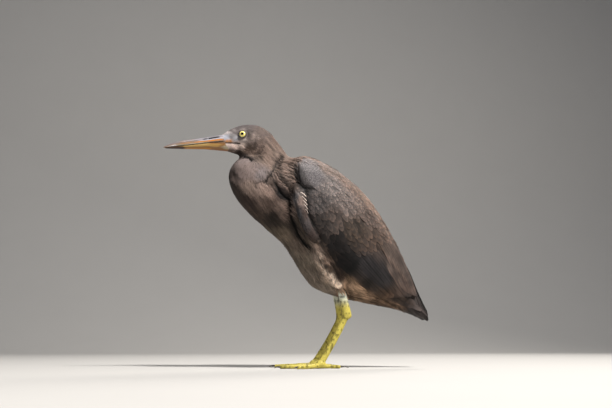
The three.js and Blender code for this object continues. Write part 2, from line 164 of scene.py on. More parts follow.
GUIDES = tuple(Guide(*row) for row in (
    ((-124, 0, 329), (0.85, 0.05, 0.50), 3.2),
    ((-110, 0, 338), (0.90, 0.00, 0.42), 4.2),
    ((-88, 0, 345), (1.00, 0.00, 0.02), 6.5),
    ((-66, 0, 342), (0.90, 0.00, -0.42), 8.5),
    ((-46, 0, 327), (0.72, 0.00, -0.70), 11.0),
    ((-30, 0, 309), (0.72, 0.00, -0.70), 13.0),
    ((-118, 8, 304), (0.97, 0.05, -0.22), 3.4),
    ((-103, 8, 299), (0.95, 0.05, -0.30), 4.4),
    ((-99, 12, 333), (0.97, 0.10, 0.18), 3.6),
    ((-84, 17, 326), (1.00, 0.05, -0.05), 4.6),
    ((-90, 15, 309), (0.97, 0.05, -0.22), 4.4),
    ((-72, 19, 318), (0.94, 0.00, -0.34), 7.0),
    ((-78, 17, 300), (0.88, 0.00, -0.48), 7.5),
    ((-56, 21, 308), (0.74, 0.00, -0.67), 10.5),
    ((-62, 24, 290), (0.62, 0.00, -0.78), 10.5),
    ((-44, 24, 298), (0.62, 0.00, -0.78), 12.0),
    ((-98, 6, 293), (-0.95, 0.15, 0.10), 8.0),
    ((-97, 14, 290), (-0.75, 0.30, -0.50), 6.0),
    ((-86, 22, 286), (-0.50, 0.20, -0.80), 6.0),
    ((-112, 4, 280), (-0.60, 0.25, -0.75), 10.0),
    ((-115, 0, 262), (0.05, 0.10, -1.00), 12.0),
    ((-92, 20, 285), (-0.70, 0.30, -0.62), 10.0),
    ((-88, 26, 268), (-0.25, 0.00, -0.97), 12.0),
    ((-60, 30, 262), (0.18, 0.00, -0.98), 13.0),
    ((-104, 8, 238), (0.40, 0.00, -0.92), 15.0),
    ((-84, 26, 240), (0.36, 0.00, -0.93), 15.0),
    ((-58, 33, 236), (0.55, 0.00, -0.83), 17.0),
    ((-40, 32, 282), (0.66, 0.05, -0.75), 15.0),
    ((-30, 37, 268), (0.86, 0.10, -0.50), 17.0),
    ((-36, 36, 254), (0.96, 0.05, -0.26), 17.0),
    ((-30, 38, 242), (0.86, 0.05, -0.50), 16.0),
    ((-39, 34, 214), (0.94, 0.00, -0.34), 15.0),
    ((-80, 10, 208), (0.64, 0.00, -0.77), 22.0),
    ((-50, 32, 205), (0.68, 0.00, -0.73), 22.0),
    ((-40, 8, 178), (0.60, 0.00, -0.80), 24.0),
    ((-14, 34, 190), (0.62, 0.00, -0.78), 24.0),
    ((-12, 8, 140), (0.46, 0.00, -0.89), 24.0),
    ((5, 32, 145), (0.52, 0.00, -0.85), 22.0),
    ((10, 6, 110), (0.70, 0.00, -0.71), 22.0),
    ((34, 6, 99), (0.98, 0.00, -0.20), 22.0),
    ((70, 6, 90), (0.99, 0.00, -0.14), 28.0),
    ((118, 6, 80), (0.96, 0.00, -0.28), 34.0),
    ((-14, 0, 303), (0.97, 0.05, -0.10), 17.0),
    ((14, 0, 299), (0.92, 0.05, -0.38), 20.0),
    ((60, 0, 270), (0.78, 0.04, -0.62), 24.0),
    ((100, 0, 228), (0.64, 0.02, -0.77), 28.0),
    ((140, 0, 165), (0.46, 0.00, -0.89), 34.0),
    ((-12, 42, 270), (0.34, 0.00, -0.94), 9.0),
    ((14, 48, 262), (0.60, 0.00, -0.80), 11.0),
    ((44, 52, 226), (0.62, 0.00, -0.78), 15.0),
    ((10, 50, 214), (0.42, 0.00, -0.91), 13.0),
    ((40, 50, 190), (0.42, 0.00, -0.91), 16.0),
    ((80, 46, 172), (0.50, 0.00, -0.87), 20.0),
    ((50, 46, 150), (0.60, 0.00, -0.80), 22.0),
    ((110, 36, 150), (0.58, 0.00, -0.81), 26.0),
    ((160, 14, 90), (0.46, 0.00, -0.89), 30.0),
    ((24, 38, 142), (0.40, 0.00, -0.92), 16.0),
    ((44, 27, 116), (0.30, 0.00, -0.95), 14.0),
    ((150, 14, 88), (0.72, 0.00, -0.69), 34.0),
))

MARKS_AND_SHADE = tuple(Mark(*row) for row in (
    # the bird's own colours, and in places painted light and shade, as noted below
    # crown, nape and forehead
    ((-88, 0, 345), (0.125, 0.106, 0.105), 22, 0.15),
    ((-60, 10, 335), (0.112, 0.084, 0.074), 20, 0.25),
    ((-42, 6, 320), (0.126, 0.085, 0.069), 18, 0.25),
    ((-119, 4, 331), (0.432, 0.396, 0.39), 7, 0.8),
    ((-110, 6, 336), (0.25, 0.22, 0.215), 8, 0.8),
    # lores, and the skin round the eye
    ((-118, 9, 321), (0.35, 0.362, 0.415), 6, 0.2),
    ((-110, 11, 324), (0.178, 0.167, 0.167), 4, 0.4),
    ((-104, 12, 319), (0.3, 0.292, 0.312), 4, 0.2),
    ((-94, 15, 334), (0.402, 0.343, 0.316), 5, 0.2),
    ((-93, 15, 318), (0.356, 0.297, 0.273), 5, 0.4),
    ((-83, 17, 327), (0.098, 0.081, 0.074), 6, 0.6),
    ((-76, 19, 321), (0.233, 0.185, 0.164), 7, 0.9),
    ((-66, 20, 309), (0.13, 0.095, 0.08), 10, 1.0),
    ((-121, 9, 316), (0.56, 0.2, 0.02), 2.6, 0.2),
    ((-116, 9.5, 315.6), (0.62, 0.22, 0.02), 3, 0.3),
    ((-111, 10.5, 315.2), (0.38, 0.15, 0.03), 2.6, 0.3),
    # the pale stripe below the gape, the dark throat and the cheek
    ((-117, 8, 308), (0.95, 0.79, 0.72), 6, 0.35),
    ((-104, 11, 307.5), (0.86, 0.68, 0.61), 6, 0.45),
    ((-94, 13, 307), (0.966, 0.777, 0.683), 4.5, 0.8),
    ((-115, 8, 303.6), (0.383, 0.219, 0.121), 2.6, 1.2),
    ((-106, 9, 303.2), (0.022, 0.011, 0.007), 3.4, 1.5),
    ((-97, 12, 303), (0.018, 0.01, 0.006), 3.6, 1.5),
    ((-112, 3, 301), (0.1, 0.06, 0.04), 5, 0.9),
    # the dark throat, deepened with painted shadow under the chin on the top of the neck's fold
    ((-112, 3, 288), (0.007, 0.005, 0.005), 5, 0.3),
    ((-105, 4, 293), (0.007, 0.005, 0.005), 5, 0.3),
    ((-99, 7, 299), (0.013, 0.007, 0.005), 7, 0.8),
    ((-88, 13, 302), (0.159, 0.109, 0.087), 6, 1.0),
    ((-80, 17, 300), (0.206, 0.151, 0.121), 7, 1.0),
    ((-72, 20, 292), (0.079, 0.06, 0.05), 8, 1.1),
    ((-50, 22, 300), (0.168, 0.122, 0.1), 16, 0.8),
    # the fold of the neck
    ((-94, 14, 286), (0.18, 0.145, 0.138), 10, 0.15),
    ((-86, 26, 268), (0.165, 0.128, 0.118), 14, 0.15),
    ((-70, 31, 262), (0.16, 0.136, 0.134), 9, 0.2),
    ((-108, 10, 282), (0.14, 0.112, 0.104), 7, 0.25),
    # the front of the neck: its own dark feathers, made darker with painted shade where it turns from the
    # light
    ((-115, 10, 264), (0.05, 0.038, 0.033), 7, 1.7),
    ((-106, 12, 260), (0.082, 0.063, 0.056), 8, 1.5),
    ((-111, 8, 250), (0.04, 0.03, 0.024), 9, 1.7),
    ((-103, 6, 236), (0.036, 0.026, 0.022), 10, 1.3),
    ((-62, 32, 242), (0.3, 0.22, 0.185), 11, 0.25),
    ((-84, 24, 246), (0.214, 0.16, 0.134), 10, 0.4),
    ((-52, 32, 250), (0.098, 0.073, 0.062), 8, 0.5),
    # breast
    # the front of the breast: its own dark brown, darkened further with painted shade where it faces down
    ((-88, 14, 224), (0.033, 0.022, 0.018), 12, 0.8),
    ((-76, 10, 206), (0.03, 0.02, 0.015), 13, 0.8),
    ((-62, 30, 220), (0.105, 0.075, 0.061), 10, 0.6),
    # painted light on the lit side of the breast, before the bar
    ((-40, 35, 214), (0.19, 0.138, 0.114), 7, 0.5),
    ((-35, 35, 204), (0.194, 0.139, 0.114), 6, 0.6),
    # painted shadow in the crevice before the bar, and painted shade under the breast
    ((-30, 36, 190), (0.01, 0.008, 0.006), 7, 0.6),
    ((-52, 26, 196), (0.019, 0.014, 0.011), 12, 0.7),
    # painted shade in the hollow below the shoulder
    ((-40, 34, 238), (0.037, 0.028, 0.026), 7, 0.8),
    # painted shade in streaks along the groove between neck and shoulder
    ((-43, 28, 286), (0.15, 0.108, 0.091), 4, 1.4),
    ((-50, 30, 273), (0.109, 0.081, 0.064), 3.4, 1.4),
    ((-57, 31, 261), (0.085, 0.065, 0.055), 3.4, 1.4),
    # shoulder
    # painted shade in the crease between the shoulder and the wing's dome
    ((-32, 36, 284), (0.019, 0.013, 0.012), 3.5, 0.5),
    ((-22, 34, 290), (0.215, 0.155, 0.128), 7, 0.8),
    ((-33, 38, 262), (0.118, 0.087, 0.073), 10, 1.5),
    ((-27, 40, 250), (0.163, 0.12, 0.101), 8, 1.6),
    ((-20, 42, 242), (0.107, 0.082, 0.072), 5, 1.3),
    # belly
    ((-38, 10, 176), (0.078, 0.06, 0.044), 14, 0.7),
    ((-16, 28, 164), (0.074, 0.056, 0.044), 13, 0.6),
    ((-8, 14, 140), (0.117, 0.094, 0.072), 16, 0.6),
    ((8, 16, 122), (0.11, 0.088, 0.07), 16, 0.5),
    ((24, 10, 102), (0.16, 0.132, 0.108), 12, 0.5),
    ((62, 20, 102), (0.206, 0.137, 0.09), 14, 1.3),
    ((80, 10, 90), (0.13, 0.086, 0.056), 16, 1.3),
    ((108, 22, 92), (0.024, 0.017, 0.012), 8, 1.0),
    ((112, 10, 84), (0.09, 0.056, 0.036), 20, 1.2),
    # back
    ((-14, 0, 304), (0.21, 0.146, 0.114), 14, 0.3),
    ((20, 0, 297), (0.22, 0.152, 0.118), 16, 0.35),
    ((26, 34, 278), (0.159, 0.125, 0.11), 12, 0.4),
    ((56, 14, 268), (0.126, 0.091, 0.076), 18, 0.4),
    ((92, 12, 234), (0.146, 0.104, 0.084), 18, 0.5),
    ((124, 10, 188), (0.088, 0.064, 0.053), 18, 0.5),
    ((146, 8, 146), (0.056, 0.042, 0.036), 16, 0.5),
    # painted shade in the notch at the end of the gap between the long wing feathers
    ((138, 14, 143), (0.011, 0.009, 0.008), 4, 0.3),
    # wing
    ((2, 46, 276), (0.164, 0.152, 0.155), 12, 0.1),
    ((4, 48, 260), (0.121, 0.111, 0.116), 11, 0.06),
    # painted shade on the lower left of the wing's dome
    ((-9, 48, 248), (0.048, 0.042, 0.042), 8, 0.1),
    ((-15, 46, 262), (0.06, 0.055, 0.056), 6, 0.1),
    ((-13, 48, 255), (0.036, 0.032, 0.032), 6, 0.1),
    ((26, 48, 248), (0.121, 0.106, 0.102), 12, 0.25),
    ((48, 48, 222), (0.106, 0.088, 0.082), 12, 0.35),
    ((70, 44, 224), (0.092, 0.073, 0.065), 10, 0.5),
    ((86, 40, 206), (0.07, 0.053, 0.046), 12, 0.5),
    ((10, 50, 224), (0.06, 0.053, 0.052), 11, 0.4),
    ((34, 50, 200), (0.055, 0.043, 0.038), 13, 0.6),
    ((62, 48, 184), (0.032, 0.024, 0.019), 13, 0.6),
    ((92, 44, 170), (0.042, 0.03, 0.024), 12, 0.6),
    ((96, 42, 152), (0.041, 0.03, 0.026), 7, 0.6),
    # the near-black marks on the low front of the wing and under its lower edge are painted shade; the darker
    # quills near them keep their own colour
    ((18, 48, 190), (0.02, 0.017, 0.016), 10, 0.4),
    ((38, 46, 160), (0.005, 0.004, 0.004), 12, 0.4),
    ((56, 44, 138), (0.002, 0.002, 0.002), 8, 0.3),
    ((84, 42, 134), (0.018, 0.016, 0.017), 12, 0.5),
    ((104, 38, 118), (0.022, 0.02, 0.021), 12, 0.5),
    ((108, 30, 99), (0.002, 0.002, 0.002), 9, 0.3),
    ((124, 27, 95), (0.016, 0.014, 0.014), 9, 0.3),
    ((140, 22, 96), (0.022, 0.018, 0.017), 9, 0.4),
    ((82, 40, 112), (0.004, 0.003, 0.003), 10, 0.3),
    ((46, 44, 142), (0.004, 0.003, 0.003), 9, 0.3),
    ((126, 34, 140), (0.059, 0.043, 0.036), 9, 0.7),
    ((140, 26, 112), (0.048, 0.035, 0.03), 10, 0.7),
    ((168, 12, 84), (0.03, 0.025, 0.024), 18, 0.4),
    # the bar of the hand: grey on its left and brown along its ridge, where the lighter brown is partly a
    # painted highlight
    ((-23, 50, 226), (0.1, 0.093, 0.095), 5, 0.3),
    ((-16, 54, 224), (0.15, 0.112, 0.098), 5, 0.5),
    ((-18, 51, 204), (0.043, 0.042, 0.045), 5, 0.2),
    ((-11, 54, 206), (0.053, 0.037, 0.032), 5, 0.5),
    ((-8, 52, 186), (0.051, 0.043, 0.043), 6, 0.3),
    ((2, 49, 180), (0.041, 0.029, 0.026), 7, 0.5),
    ((7, 46, 168), (0.03, 0.022, 0.018), 5, 0.3),
    # thigh
    ((8, 40, 158), (0.285, 0.213, 0.171), 6, 0.5),
    ((10, 40, 148), (0.23, 0.176, 0.14), 6, 0.7),
    ((24, 38, 144), (0.098, 0.069, 0.053), 6, 0.5),
    ((9, 39, 139), (0.431, 0.345, 0.273), 3.2, 1.3),
    ((14, 39, 143), (0.014, 0.01, 0.008), 2.6, 0.5),
    ((21, 38, 135), (0.005, 0.004, 0.003), 3.4, 0.5),
    ((14, 39, 133), (0.875, 0.708, 0.574), 3.6, 1.3),
    ((20, 37, 127), (0.78, 0.634, 0.512), 3.8, 1.3),
    ((27, 35, 121), (0.9, 0.75, 0.62), 3.8, 1.3),
    ((34, 32, 115), (0.95, 0.8, 0.66), 4, 1.2),
    ((41, 30, 109), (0.98, 0.833, 0.686), 4, 1.0),
    ((42, 30, 124), (0.036, 0.024, 0.018), 7, 0.7),
    ((28, 36, 132), (0.032, 0.022, 0.016), 5, 0.6),
    ((8, 34, 132), (0.158, 0.124, 0.098), 5, 0.6),
    ((22, 30, 116), (0.307, 0.241, 0.193), 6, 0.8),
))

SEAMS = (
    # each seam sinks the skin and paints shade into the colour along its line
    # between neck and shoulder, under the chin, and between the two folds of the neck
    Seam(((-37, 293), (-44, 284), (-50, 272), (-56, 261), (-62, 253)), 2.0, 3.0, 0.12),
    Seam(((-112, 289), (-104, 293), (-94, 294.5), (-86, 293), (-81, 286)), 1.9, 2.0, 0.03),
    Seam(((-78, 249), (-66, 252), (-52, 247)), 1.4, 1.2, 0.6),
    # below the shoulder, before the bar of the hand, and behind it
    Seam(((-48, 250), (-44, 239), (-36, 231), (-29, 229)), 2.8, 2.8, 0.06),
    Seam(((-29, 231), (-28, 215), (-26, 203), (-21, 191), (-13, 176), (-1, 162)), 2.8, 3.0, 0.04),
    Seam(((-14, 244), (-9, 238), (-8, 226), (-5, 208), (2, 192), (11, 178), (15, 168)), 1.8, 2.6, 0.05),
    # the gape, and two round the wing's dome
    Seam(((-127, 313.7), (-112, 313.1), (-98, 312.2)), 0.8, 0.8, 0.02),
    Seam(((-20, 278), (-22, 266)), 1.4, 1.6, 0.40),
    Seam(((-22, 266), (-20, 251), (-14, 243), (2, 240)), 2.0, 2.6, 0.06),
)


@dataclass(frozen=True)
class Plumage:
    """How feathers lie, how long they are and what colour they have, anywhere on the bird."""

    guides: tuple[Guide, ...] = GUIDES
    marks_and_shade: tuple[Mark, ...] = MARKS_AND_SHADE
    seams: tuple[Seam, ...] = SEAMS
    guide_reach: float = 9.0
    streak_wide: float = 1.9
    streak_long: float = 13.0
    streak_broad: float = 0.5
    streak_gain: float = 1.5
    streak_deep: float = 5.0
    streak_stops: float = 1.3
    streak_tilt: float = 52.0
    face_tilt: float = 34.0
    furrow_ragged: float = 0.35
    furrow_floor: float = 6.0
    furrow_shade_spread: float = 1.5

    def _guide_weights(self, points: Array) -> Array:
        """The share of every guide at every point, which falls with distance."""
        at = np.array([g.place for g in self.guides], float)
        apart = ((stations(points)[:, None, :] - at[None]) ** 2).sum(-1)
        weights = 1.0 / (apart + self.guide_reach**2) ** 2
        return weights / weights.sum(1, keepdims=True)

    def ways(self, points: Array, normals: Array) -> Array:
        """The directions in which feathers lie along the surface.

        Args:
            points: places on the skin.
            normals: the skin's normals there.

        Returns:
            One unit vector for each point, at right angles to its normal.
        """
        way = self._guide_weights(points) @ np.array([g.way for g in self.guides], float)
        way[:, 1] *= np.sign(points[:, 1] + 1e-9)
        return unit(way - (way * normals).sum(1, keepdims=True) * normals)

    def lengths(self, points: Array) -> Array:
        """The length in metres of a feather rooted at each point."""
        return self._guide_weights(points) @ np.array([g.length for g in self.guides], float) * MM

    def _mark_weights(self, folded: Array) -> Array:
        """The share of every mark at every folded station."""
        at = np.array([m.place for m in self.marks_and_shade], float)
        reach = np.array([m.reach for m in self.marks_and_shade], float)
        apart = np.sqrt(((folded[:, None, :] - at[None]) ** 2).sum(-1)) / reach
        weights = np.exp(-2.0 * apart) / (0.15 + apart**2)
        return weights / weights.sum(1, keepdims=True)

    def streaks(self, points: Array, folded: Array) -> Array:
        """Light and dark streaks along the plumage, from -1 to 1."""
        face = smooth(-folded[:, 0], 60, 80) * smooth(folded[:, 2], 290, 305)
        tilt = np.radians(self.streak_tilt - (self.streak_tilt - self.face_tilt) * face)
        across = folded[:, 0] * np.sin(tilt) + folded[:, 2] * np.cos(tilt)
        along = folded[:, 0] * np.cos(tilt) - folded[:, 2] * np.sin(tilt)
        sideways = points[:, 1] / MM / self.streak_deep
        grid = np.stack([across / self.streak_wide, along / self.streak_long, sideways], 1)
        fine, broad = lattice_noise(grid), lattice_noise(grid * self.streak_broad + 40.5)
        return np.clip(self.streak_gain * (fine + broad - 1), -1, 1)

    def colours(self, points: Array) -> Array:
        """The colour of the skin and coat at each point, with the painted light and shade of some marks, as
        linear red, green and blue.
        """
        folded = stations(points)
        weights = self._mark_weights(folded)
        colour = weights @ np.array([m.colour for m in self.marks_and_shade], float)
        strength = weights @ np.array([m.streak for m in self.marks_and_shade], float)
        light = np.exp2(self.streak_stops * strength * self.streaks(points, folded))
        return colour * light[:, None]

    def furrows(self, points: Array, normals: Array) -> tuple[Array, Array, Array]:
        """The furrows between masses of plumage.

        Args:
            points: places on the skin.
            normals: the skin's normals there.

        Returns:
            How deep each place is sunk, in metres; its share of a furrow, from 0 to 1; and how much of its
            light it keeps.
        """
        folded = stations(points)
        sideways = smooth(np.abs(normals[:, 1]), 0.05, 0.35) * (folded[:, 1] > self.furrow_floor)
        depth, share, light = np.zeros(len(points)), np.zeros(len(points)), np.ones(len(points))
        ragged = 1 + self.furrow_ragged * self.streaks(points, folded)
        flat = folded * np.array([1.0, 0.0, 1.0])
        for seam in self.seams:
            line = [(x, 0.0, z) for x, z in seam.line]
            apart = [segment_distance(flat, *ends) for ends in zip(line[:-1], line[1:])]
            apart = np.min(apart, axis=0) * ragged
            inside = np.exp(-((apart / seam.half) ** 2)) * sideways
            # the painted shade spreads wider than the furrow itself
            wide = np.exp(-((apart / seam.half / self.furrow_shade_spread) ** 2)) * sideways
            depth = np.maximum(depth, inside * seam.depth * MM)
            share = np.maximum(share, inside)
            light = np.minimum(light, 1 - (1 - seam.shade) * wide)
        return depth, share, light


# ---------- meshes from arrays, and the surface that feathers are planted on ----------


@dataclass
class Sheaf:
    """Arrays of one mesh: its vertices, its faces of equal size, and what its materials read."""

    points: Array
    faces: Array
    tint: Array
    tone: Array
    vane: Array
    patch: Array
    normals: Array
    below: Array


def mesh_object(name: str, sheaf: Sheaf, material: Material) -> Piece:
    """A smooth mesh object from arrays.

    Args:
        name: the piece's name.
        sheaf: its vertices and faces and their values.
        material: its one material.

    Returns:
        The new object, at the origin.
    """
    mesh = bpy.data.meshes.new(name)
    corners = sheaf.faces.shape[1]
    mesh.vertices.add(len(sheaf.points))
    mesh.vertices.foreach_set("co", sheaf.points.astype(np.float32).ravel())
    mesh.loops.add(sheaf.faces.size)
    mesh.loops.foreach_set("vertex_index", sheaf.faces.astype(np.int32).ravel())
    mesh.polygons.add(len(sheaf.faces))
    mesh.polygons.foreach_set("loop_start", np.arange(0, sheaf.faces.size, corners, dtype=np.int32))
    mesh.update(calc_edges=True)
    write_colour(mesh, "tint", sheaf.tint)
    write_value(mesh, "tone", sheaf.tone)
    for label, values in (("OFBake", sheaf.patch), ("Vane", sheaf.vane)):
        layer = mesh.uv_layers.new(name=label)
        layer.data.foreach_set("uv", values[sheaf.faces.ravel()].astype(np.float32).ravel())
    piece = finished(name, mesh, material)
    turned = np.where(sheaf.below, -1.0, 1.0)[:, None, None]
    mesh.normals_split_custom_set((sheaf.normals[sheaf.faces] * turned).reshape(-1, 3).astype(np.float32))
    return piece


def write_colour(mesh: bpy.types.Mesh, name: str, colours: Array) -> None:
    """Stores a colour for every vertex of a mesh under a name."""
    layer = mesh.attributes.new(name, "FLOAT_COLOR", "POINT")
    values = np.ones((len(colours), 4), np.float32)
    values[:, :3] = colours
    layer.data.foreach_set("color", values.ravel())


def write_value(mesh: bpy.types.Mesh, name: str, values: Array) -> None:
    """Stores a number for every vertex of a mesh under a name."""
    layer = mesh.attributes.new(name, "FLOAT", "POINT")
    layer.data.foreach_set("value", values.astype(np.float32))


def mesh_of(bm: Draft, name: str) -> bpy.types.Mesh:
    """A mesh made from a bmesh, which is freed."""
    mesh = bpy.data.meshes.new(name)
    bm.to_mesh(mesh)
    bm.free()
    return mesh


def triangles(mesh: bpy.types.Mesh) -> Array:
    """The vertex numbers of a mesh made of triangles, one triangle in each row."""
    faces = np.empty(len(mesh.polygons) * 3, np.int32)
    mesh.loops.foreach_get("vertex_index", faces)
    return faces.reshape(-1, 3)


def finished(name: str, mesh: bpy.types.Mesh, material: Material) -> Piece:
    """A linked, smooth-shaded object for a mesh, riding on the bird's one body."""
    mesh.materials.append(material)
    mesh.polygons.foreach_set("use_smooth", np.ones(len(mesh.polygons), bool))
    piece = bpy.data.objects.new(name, mesh)
    bpy.context.scene.collection.objects.link(piece)
    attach(piece, "root")
    mesh.calc_loop_triangles()
    LOG.info("%s: %d triangles", name, len(mesh.loop_triangles))
    return piece


class Surface:
    """A mesh as arrays, with its nearest points, its smooth normals and its unwrap."""

    def __init__(self, mesh: bpy.types.Mesh, regions: Array) -> None:
        """Reads a mesh made of triangles.

        Args:
            mesh: the skin's mesh.
            regions: the number of the CAD node that each triangle belongs to.
        """
        count = len(mesh.vertices)
        self.points = np.empty(count * 3, np.float32)
        mesh.vertices.foreach_get("co", self.points)
        self.points = self.points.reshape(-1, 3).astype(float)
        self.faces = triangles(mesh)
        self.regions = regions
        corner = self.points[self.faces]
        cross = np.cross(corner[:, 1] - corner[:, 0], corner[:, 2] - corner[:, 0])
        self.areas = np.linalg.norm(cross, axis=1) / 2
        normals = np.zeros_like(self.points)
        for k in range(3):
            np.add.at(normals, self.faces[:, k], cross)
        self.normals = unit(unit(normals)[self.faces].mean(1))
        self.centres = corner.mean(1)
        self.tree = BVHTree.FromPolygons(self.points.tolist(), self.faces.tolist())
        self.unwrap = np.zeros((len(self.faces), 2))
        self.furrow = np.zeros(len(self.faces), bool)

    def read_unwrap(self, mesh: bpy.types.Mesh, layer: str) -> None:
        """Keeps the middle of each triangle on a UV map."""
        values = np.empty(len(mesh.loops) * 2, np.float32)
        mesh.uv_layers[layer].data.foreach_get("uv", values)
        self.unwrap = values.reshape(-1, 3, 2).mean(1)

    def nearest(self, points: Array) -> tuple[Array, Array, Array]:
        """The nearest places on the surface.

        Args:
            points: one place in each row.

        Returns:
            The nearest places, the normals there, and the triangles they lie on.
        """
        found = [self.tree.find_nearest(p)[::2] for p in points.tolist()]
        index = np.array([f[1] for f in found], int)
        return np.array([f[0] for f in found], float), self.normals[index], index

    def scatter(self, mask: Array, spacing: Array, dice: Dice) -> Array:
        """Evenly spread places on some triangles, none closer than a spacing that varies.

        Args:
            mask: which triangles take part.
            spacing: the least distance between places, for each triangle.
            dice: the source of chance.

        Returns:
            The places.
        """
        chosen = np.flatnonzero(mask)
        share = self.areas[chosen] / spacing[chosen] ** 2
        count = int(share.sum() * 4.0)
        index = chosen[dice.choice(len(chosen), count, p=share / share.sum())]
        a, b = dice.random(count), dice.random(count)
        flip = a + b > 1
        a[flip], b[flip] = 1 - a[flip], 1 - b[flip]
        corner = self.points[self.faces[index]]
        first, second = corner[:, 1] - corner[:, 0], corner[:, 2] - corner[:, 0]
        points = corner[:, 0] + a[:, None] * first + b[:, None] * second
        return points[spread(points, spacing[index])]


def spread(points: Array, spacing: Array) -> list[int]:
    """Which points to keep so that none has a kept one within its own spacing.

    Args:
        points: places in the order in which they are tried.
        spacing: the spacing of each.

    Returns:
        The numbers of the points that are kept.
    """
    cell = float(spacing.max())
    grid: dict[tuple[int, int, int], list[int]] = {}
    keys = np.floor(points / cell).astype(int)
    kept = []
    listed = points.tolist()
    near = list(product((-1, 0, 1), repeat=3))
    for n, (key, gap) in enumerate(zip(keys.tolist(), (spacing**2).tolist())):
        x, y, z = listed[n]
        clear = True
        for i, j, k in near:
            for m in grid.get((key[0] + i, key[1] + j, key[2] + k), ()):
                other = listed[m]
                if (x - other[0]) ** 2 + (y - other[1]) ** 2 + (z - other[2]) ** 2 < gap:
                    clear = False
                    break
            if not clear:
                break
        if clear:
            grid.setdefault(tuple(key), []).append(n)
            kept.append(n)
    return kept


# ---------- the skin ----------

FLESH = ("head", "neck_upper", "neck_bend", "neck_base", "trunk", "tail")
SIDE_FLESH = ("thigh", "wing", "wing_hand")
SIDE_LEG = ("shank", "tarsus", "toe_inner", "toe_middle", "toe_outer", "toe_hind")
BODY_NODES = FLESH + tuple(f"{name}_{side}" for side in SIDES for name in SIDE_FLESH)
LEG_NODES = tuple(f"{name}_{side}" for side in SIDES for name in SIDE_LEG)
COAT_DEPTH = {
    "head": 1.3, "neck": 2.8, "trunk": 3.4, "tail": 2.0, "thigh": 3.0, "wing": 2.0, "wing_hand": 1.2,
}
SHANK_END = 3 * MM
SHANK_WAY = Vector((-0.42, 0.0, 0.9))
SMOOTHING = {"head": 8, "neck": 26, "trunk": 30, "tail": 12, "thigh": 24, "wing": 16, "wing_hand": 8}


def kind(node: str) -> str:
    """A node's name without its side or its number along the neck."""
    name = node.removesuffix("_left").removesuffix("_right")
    return "neck" if name.startswith("neck") else name


class NodeMap:
    """Tells which CAD node any place is nearest to."""

    def __init__(self, names: Sequence[str]) -> None:
        """Gathers the faces of some CAD nodes."""
        self.names = tuple(names)
        points, faces, owners, count = [], [], [], 0
        for number, name in enumerate(self.names):
            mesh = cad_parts[name].data
            points += [tuple(v.co) for v in mesh.vertices]
            faces += [tuple(count + v for v in p.vertices) for p in mesh.polygons]
            owners += [number] * len(mesh.polygons)
            count += len(mesh.vertices)
        self.tree = BVHTree.FromPolygons(points, faces)
        self.owners = np.array(owners)

    def nearest(self, points: Array) -> Array:
        """The number of the node nearest to each point."""
        return self.owners[[self.tree.find_nearest(p)[2] for p in points.tolist()]]

    def named(self, *kinds: str) -> Array:
        """The numbers of the nodes of some kinds."""
        return np.array([n for n, name in enumerate(self.names) if kind(name) in kinds])


def union_of(names: Sequence[str], voxel: float, grow: float, reach_up: float = 0.0) -> Draft:
    """One closed mesh round several CAD nodes, with the thin gaps between them gone.

    Args:
        names: the nodes.
        voxel: the size of the new mesh's faces.
        grow: how far each node is swollen first, so that neighbours meet.
        reach_up: how far the top of each shank is drawn up into its thigh.

    Returns:
        A mesh of quads.
    """
    bm = bmesh.new()
    for name in names:
        bm.from_mesh(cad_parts[name].data)
        if kind(name) == "shank":
            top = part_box(name)[1].z - SHANK_END
            for vert in bm.verts[-len(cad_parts[name].data.vertices):]:
                if vert.co.z > top:
                    vert.co += SHANK_WAY * reach_up
    bmesh.ops.remove_doubles(bm, verts=bm.verts, dist=1e-6)
    bm.normal_update()
    for vert in bm.verts:
        vert.co += vert.normal * grow
    mesh = bpy.data.meshes.new("union")
    bm.to_mesh(mesh)
    shape = bpy.data.objects.new("union", mesh)
    bpy.context.scene.collection.objects.link(shape)
    remesh = shape.modifiers.new("remesh", "REMESH")
    remesh.mode = "VOXEL"
    remesh.voxel_size = voxel
    graph = bpy.context.evaluated_depsgraph_get()
    bm.clear()
    bm.from_mesh(shape.evaluated_get(graph).to_mesh())
    bpy.data.objects.remove(shape)
    bpy.data.meshes.remove(mesh)
    return bm


def vertex_array(bm: Draft) -> Array:
    """The places of a mesh's vertices."""
    return np.array([v.co for v in bm.verts], float)


def normal_array(bm: Draft) -> Array:
    """The normals at a mesh's vertices."""
    return np.array([v.normal for v in bm.verts], float)


def relaxed(bm: Draft, points: Array, weights: Array, rounds: int) -> Array:
    """Points drawn towards the average of their neighbours.

    Args:
        bm: the mesh whose edges say which points are neighbours.
        points: the places to smooth, or any values at the vertices.
        weights: for each vertex, how many of the rounds it takes part in, as a share.
        rounds: how often all are moved.

    Returns:
        The new places.
    """
    ends = np.array([(e.verts[0].index, e.verts[1].index) for e in bm.edges])
    start = np.concatenate([ends[:, 0], ends[:, 1]])
    stop = np.concatenate([ends[:, 1], ends[:, 0]])
    count = np.bincount(start, minlength=len(points))[:, None]
    result = points.copy()
    for n in range(rounds):
        near = np.stack([np.bincount(start, result[stop, k], len(points)) for k in range(result.shape[1])], 1)
        active = (weights * rounds > n)[:, None]
        result = np.where(active, result + 0.5 * (near / count - result), result)
    return result


def set_places(bm: Draft, points: Array) -> None:
    """Moves a mesh's vertices."""
    for vert, point in zip(bm.verts, points.tolist()):
        vert.co = point
    bm.normal_update()


